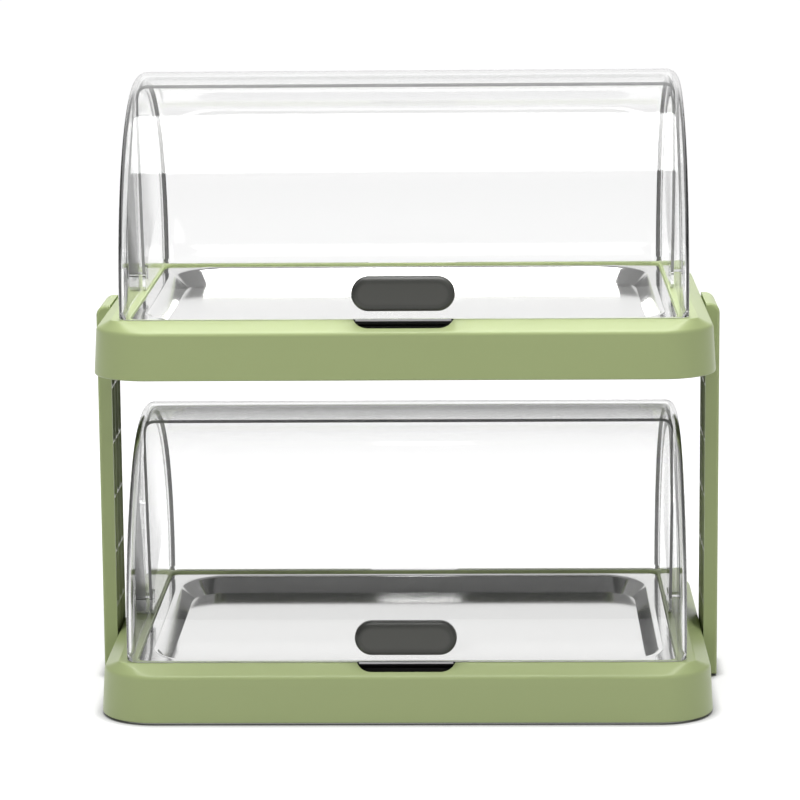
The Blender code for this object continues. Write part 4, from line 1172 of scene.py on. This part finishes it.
def make_pin(tier, side, word):
    start = REAR_X - REAR_WALL - FIT_GAP - PIN_INNER_HEAD
    shaft = FRONT_X + BRACKET_GAP + BRACKET_THICKNESS + FIT_GAP - start
    length = shaft + PIN_OUTER_HEAD
    profile = (
        (0, 0),
        (0, PIN_HEAD - PIN_EDGE),
        (PIN_EDGE, PIN_HEAD),
        (PIN_INNER_HEAD, PIN_HEAD),
        (PIN_INNER_HEAD, PIN_RADIUS),
        (shaft, PIN_RADIUS),
        (shaft, PIN_HEAD),
        (length - PIN_EDGE, PIN_HEAD),
        (length, PIN_HEAD - PIN_EDGE),
        (length, 0),
    )
    pin = turned(profile, (side * start, 0, 0), (side, 0, 0))
    piece = finish_piece(f"{tier}_hinge_pin_{word}", pin, hinge_plastic)
    height = TIERS[tier] + PIVOT_HEIGHT
    place_on(piece, height, "root", [f"{tier}_pivot_pin_{word}"])


for tier in TIERS:
    for side, word in ((-1, "left"), (1, "right")):
        make_bracket(tier, side, word)
        make_pin(tier, side, word)

# %% [markdown]
# ## The side posts
#
# A post is a shallow moulded tray on its side: an outer skin with edge walls, two upright ribs
# and a row of cross ribs facing the frames. The pockets between the ribs are cut from a solid
# bar whose outer edges and top are rounded.

# %% Make the posts
POST_THICKNESS = 0.0103
POST_TOP_RISE = 0.0004
POST_TOP_ROUND = 0.0075
POST_EDGE_ROUND = 0.0022
POST_SKIN = 0.0022
POST_RIB = 0.0016
POST_FIRST_RIB = 0.0531
POST_RIB_PITCH = 0.0415
POST_INNER_X = POST_SEAT_X + FIT_GAP
POST_OUTER_X = POST_INNER_X + POST_THICKNESS
POST_LENGTH = TIER_PITCH + RIM_HEIGHT + POST_TOP_RISE
POST_BAY = (POST_DEPTH - POST_RIB) / 3
POST_SCREW_HEIGHT = 0.015
POST_SCREW_RADIUS = 0.0015
POST_BOSS = 0.0036


def post_pockets():
    """Boxes between the ribs of the right-hand post."""
    half, rib, place = POST_DEPTH / 2, POST_RIB / 2, POST_BAY / 2
    side_bay = (place + rib, half - POST_SKIN)
    columns = ((-side_bay[1], -side_bay[0]), (rib - place, place - rib), side_bay)
    top = POST_LENGTH - POST_SKIN - POST_TOP_ROUND / 2
    levels = [POST_SKIN]
    height = POST_FIRST_RIB
    while height < top - POST_RIB_PITCH / 4:
        levels += [height - rib, height + rib]
        height += POST_RIB_PITCH
    levels.append(top)
    low_x, high_x = POST_INNER_X - OVERRUN, POST_OUTER_X - POST_SKIN
    return [
        block((low_x, low_y, low_z), (high_x, high_y, high_z))
        for low_y, high_y in columns
        for low_z, high_z in zip(levels[::2], levels[1::2])
    ]


def mirrored(bm, side):
    """The left-hand shape of a right-hand one, where side is -1."""
    bmesh.ops.scale(bm, vec=(side, 1, 1), verts=bm.verts)
    return bm


def make_post(side, word):
    centre = (POST_OUTER_X - POST_TOP_ROUND, POST_LENGTH - POST_TOP_ROUND)
    top = arc(POST_TOP_ROUND, 0, QUARTER, centre)
    outline = [(POST_INNER_X, 0), (POST_INNER_X, POST_LENGTH)] + top + [(POST_OUTER_X, 0)]
    bar = prism(outline, (0, -POST_DEPTH / 2, 0), (0, POST_DEPTH / 2, 0))
    outer_edges = [
        e
        for e in bar.edges
        if abs(e.verts[0].co.y - e.verts[1].co.y) < FIT_GAP
        and not all(abs(v.co.x - POST_INNER_X) < FIT_GAP for v in e.verts)
    ]
    round_edges(bar, outer_edges, POST_EDGE_ROUND)
    piece = finish_piece(f"green_post_{word}", mirrored(bar, side), green_plastic)
    carve(piece, mirrored(gather(post_pockets()), side))
    heights = (POST_SCREW_HEIGHT, TIER_PITCH + POST_SCREW_HEIGHT)
    places = [(y, z) for z in heights for y in (-POST_BAY, POST_BAY)]
    skin = POST_OUTER_X - POST_SKIN / 2
    bosses = [rod((POST_INNER_X, y, z), (skin, y, z), POST_BOSS) for y, z in places]
    carve(piece, mirrored(gather(bosses), side), "UNION")
    flatten_normals(piece)
    place_on(piece, FOOT_SHOW, "root", [f"side_post_{word}"])


for side, word in ((-1, "left"), (1, "right")):
    make_post(side, word)

# %% [markdown]
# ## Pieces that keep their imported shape
#
# The tubs, cold packs, screws and feet are already the right shape. They only need their
# finish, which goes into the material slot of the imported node.

# %% Give the kept nodes their finish
kept_finishes = {
    "inner_tub": black_plastic,
    "cold_pack": blue_plastic,
    "screw": zinc_plate,
    "foot": black_rubber,
}
for name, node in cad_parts.items():
    for word, material in kept_finishes.items():
        if word in name:
            node.data.materials.clear()
            node.data.materials.append(material)
            break

# %% Update the view layer
bpy.context.view_layer.update()
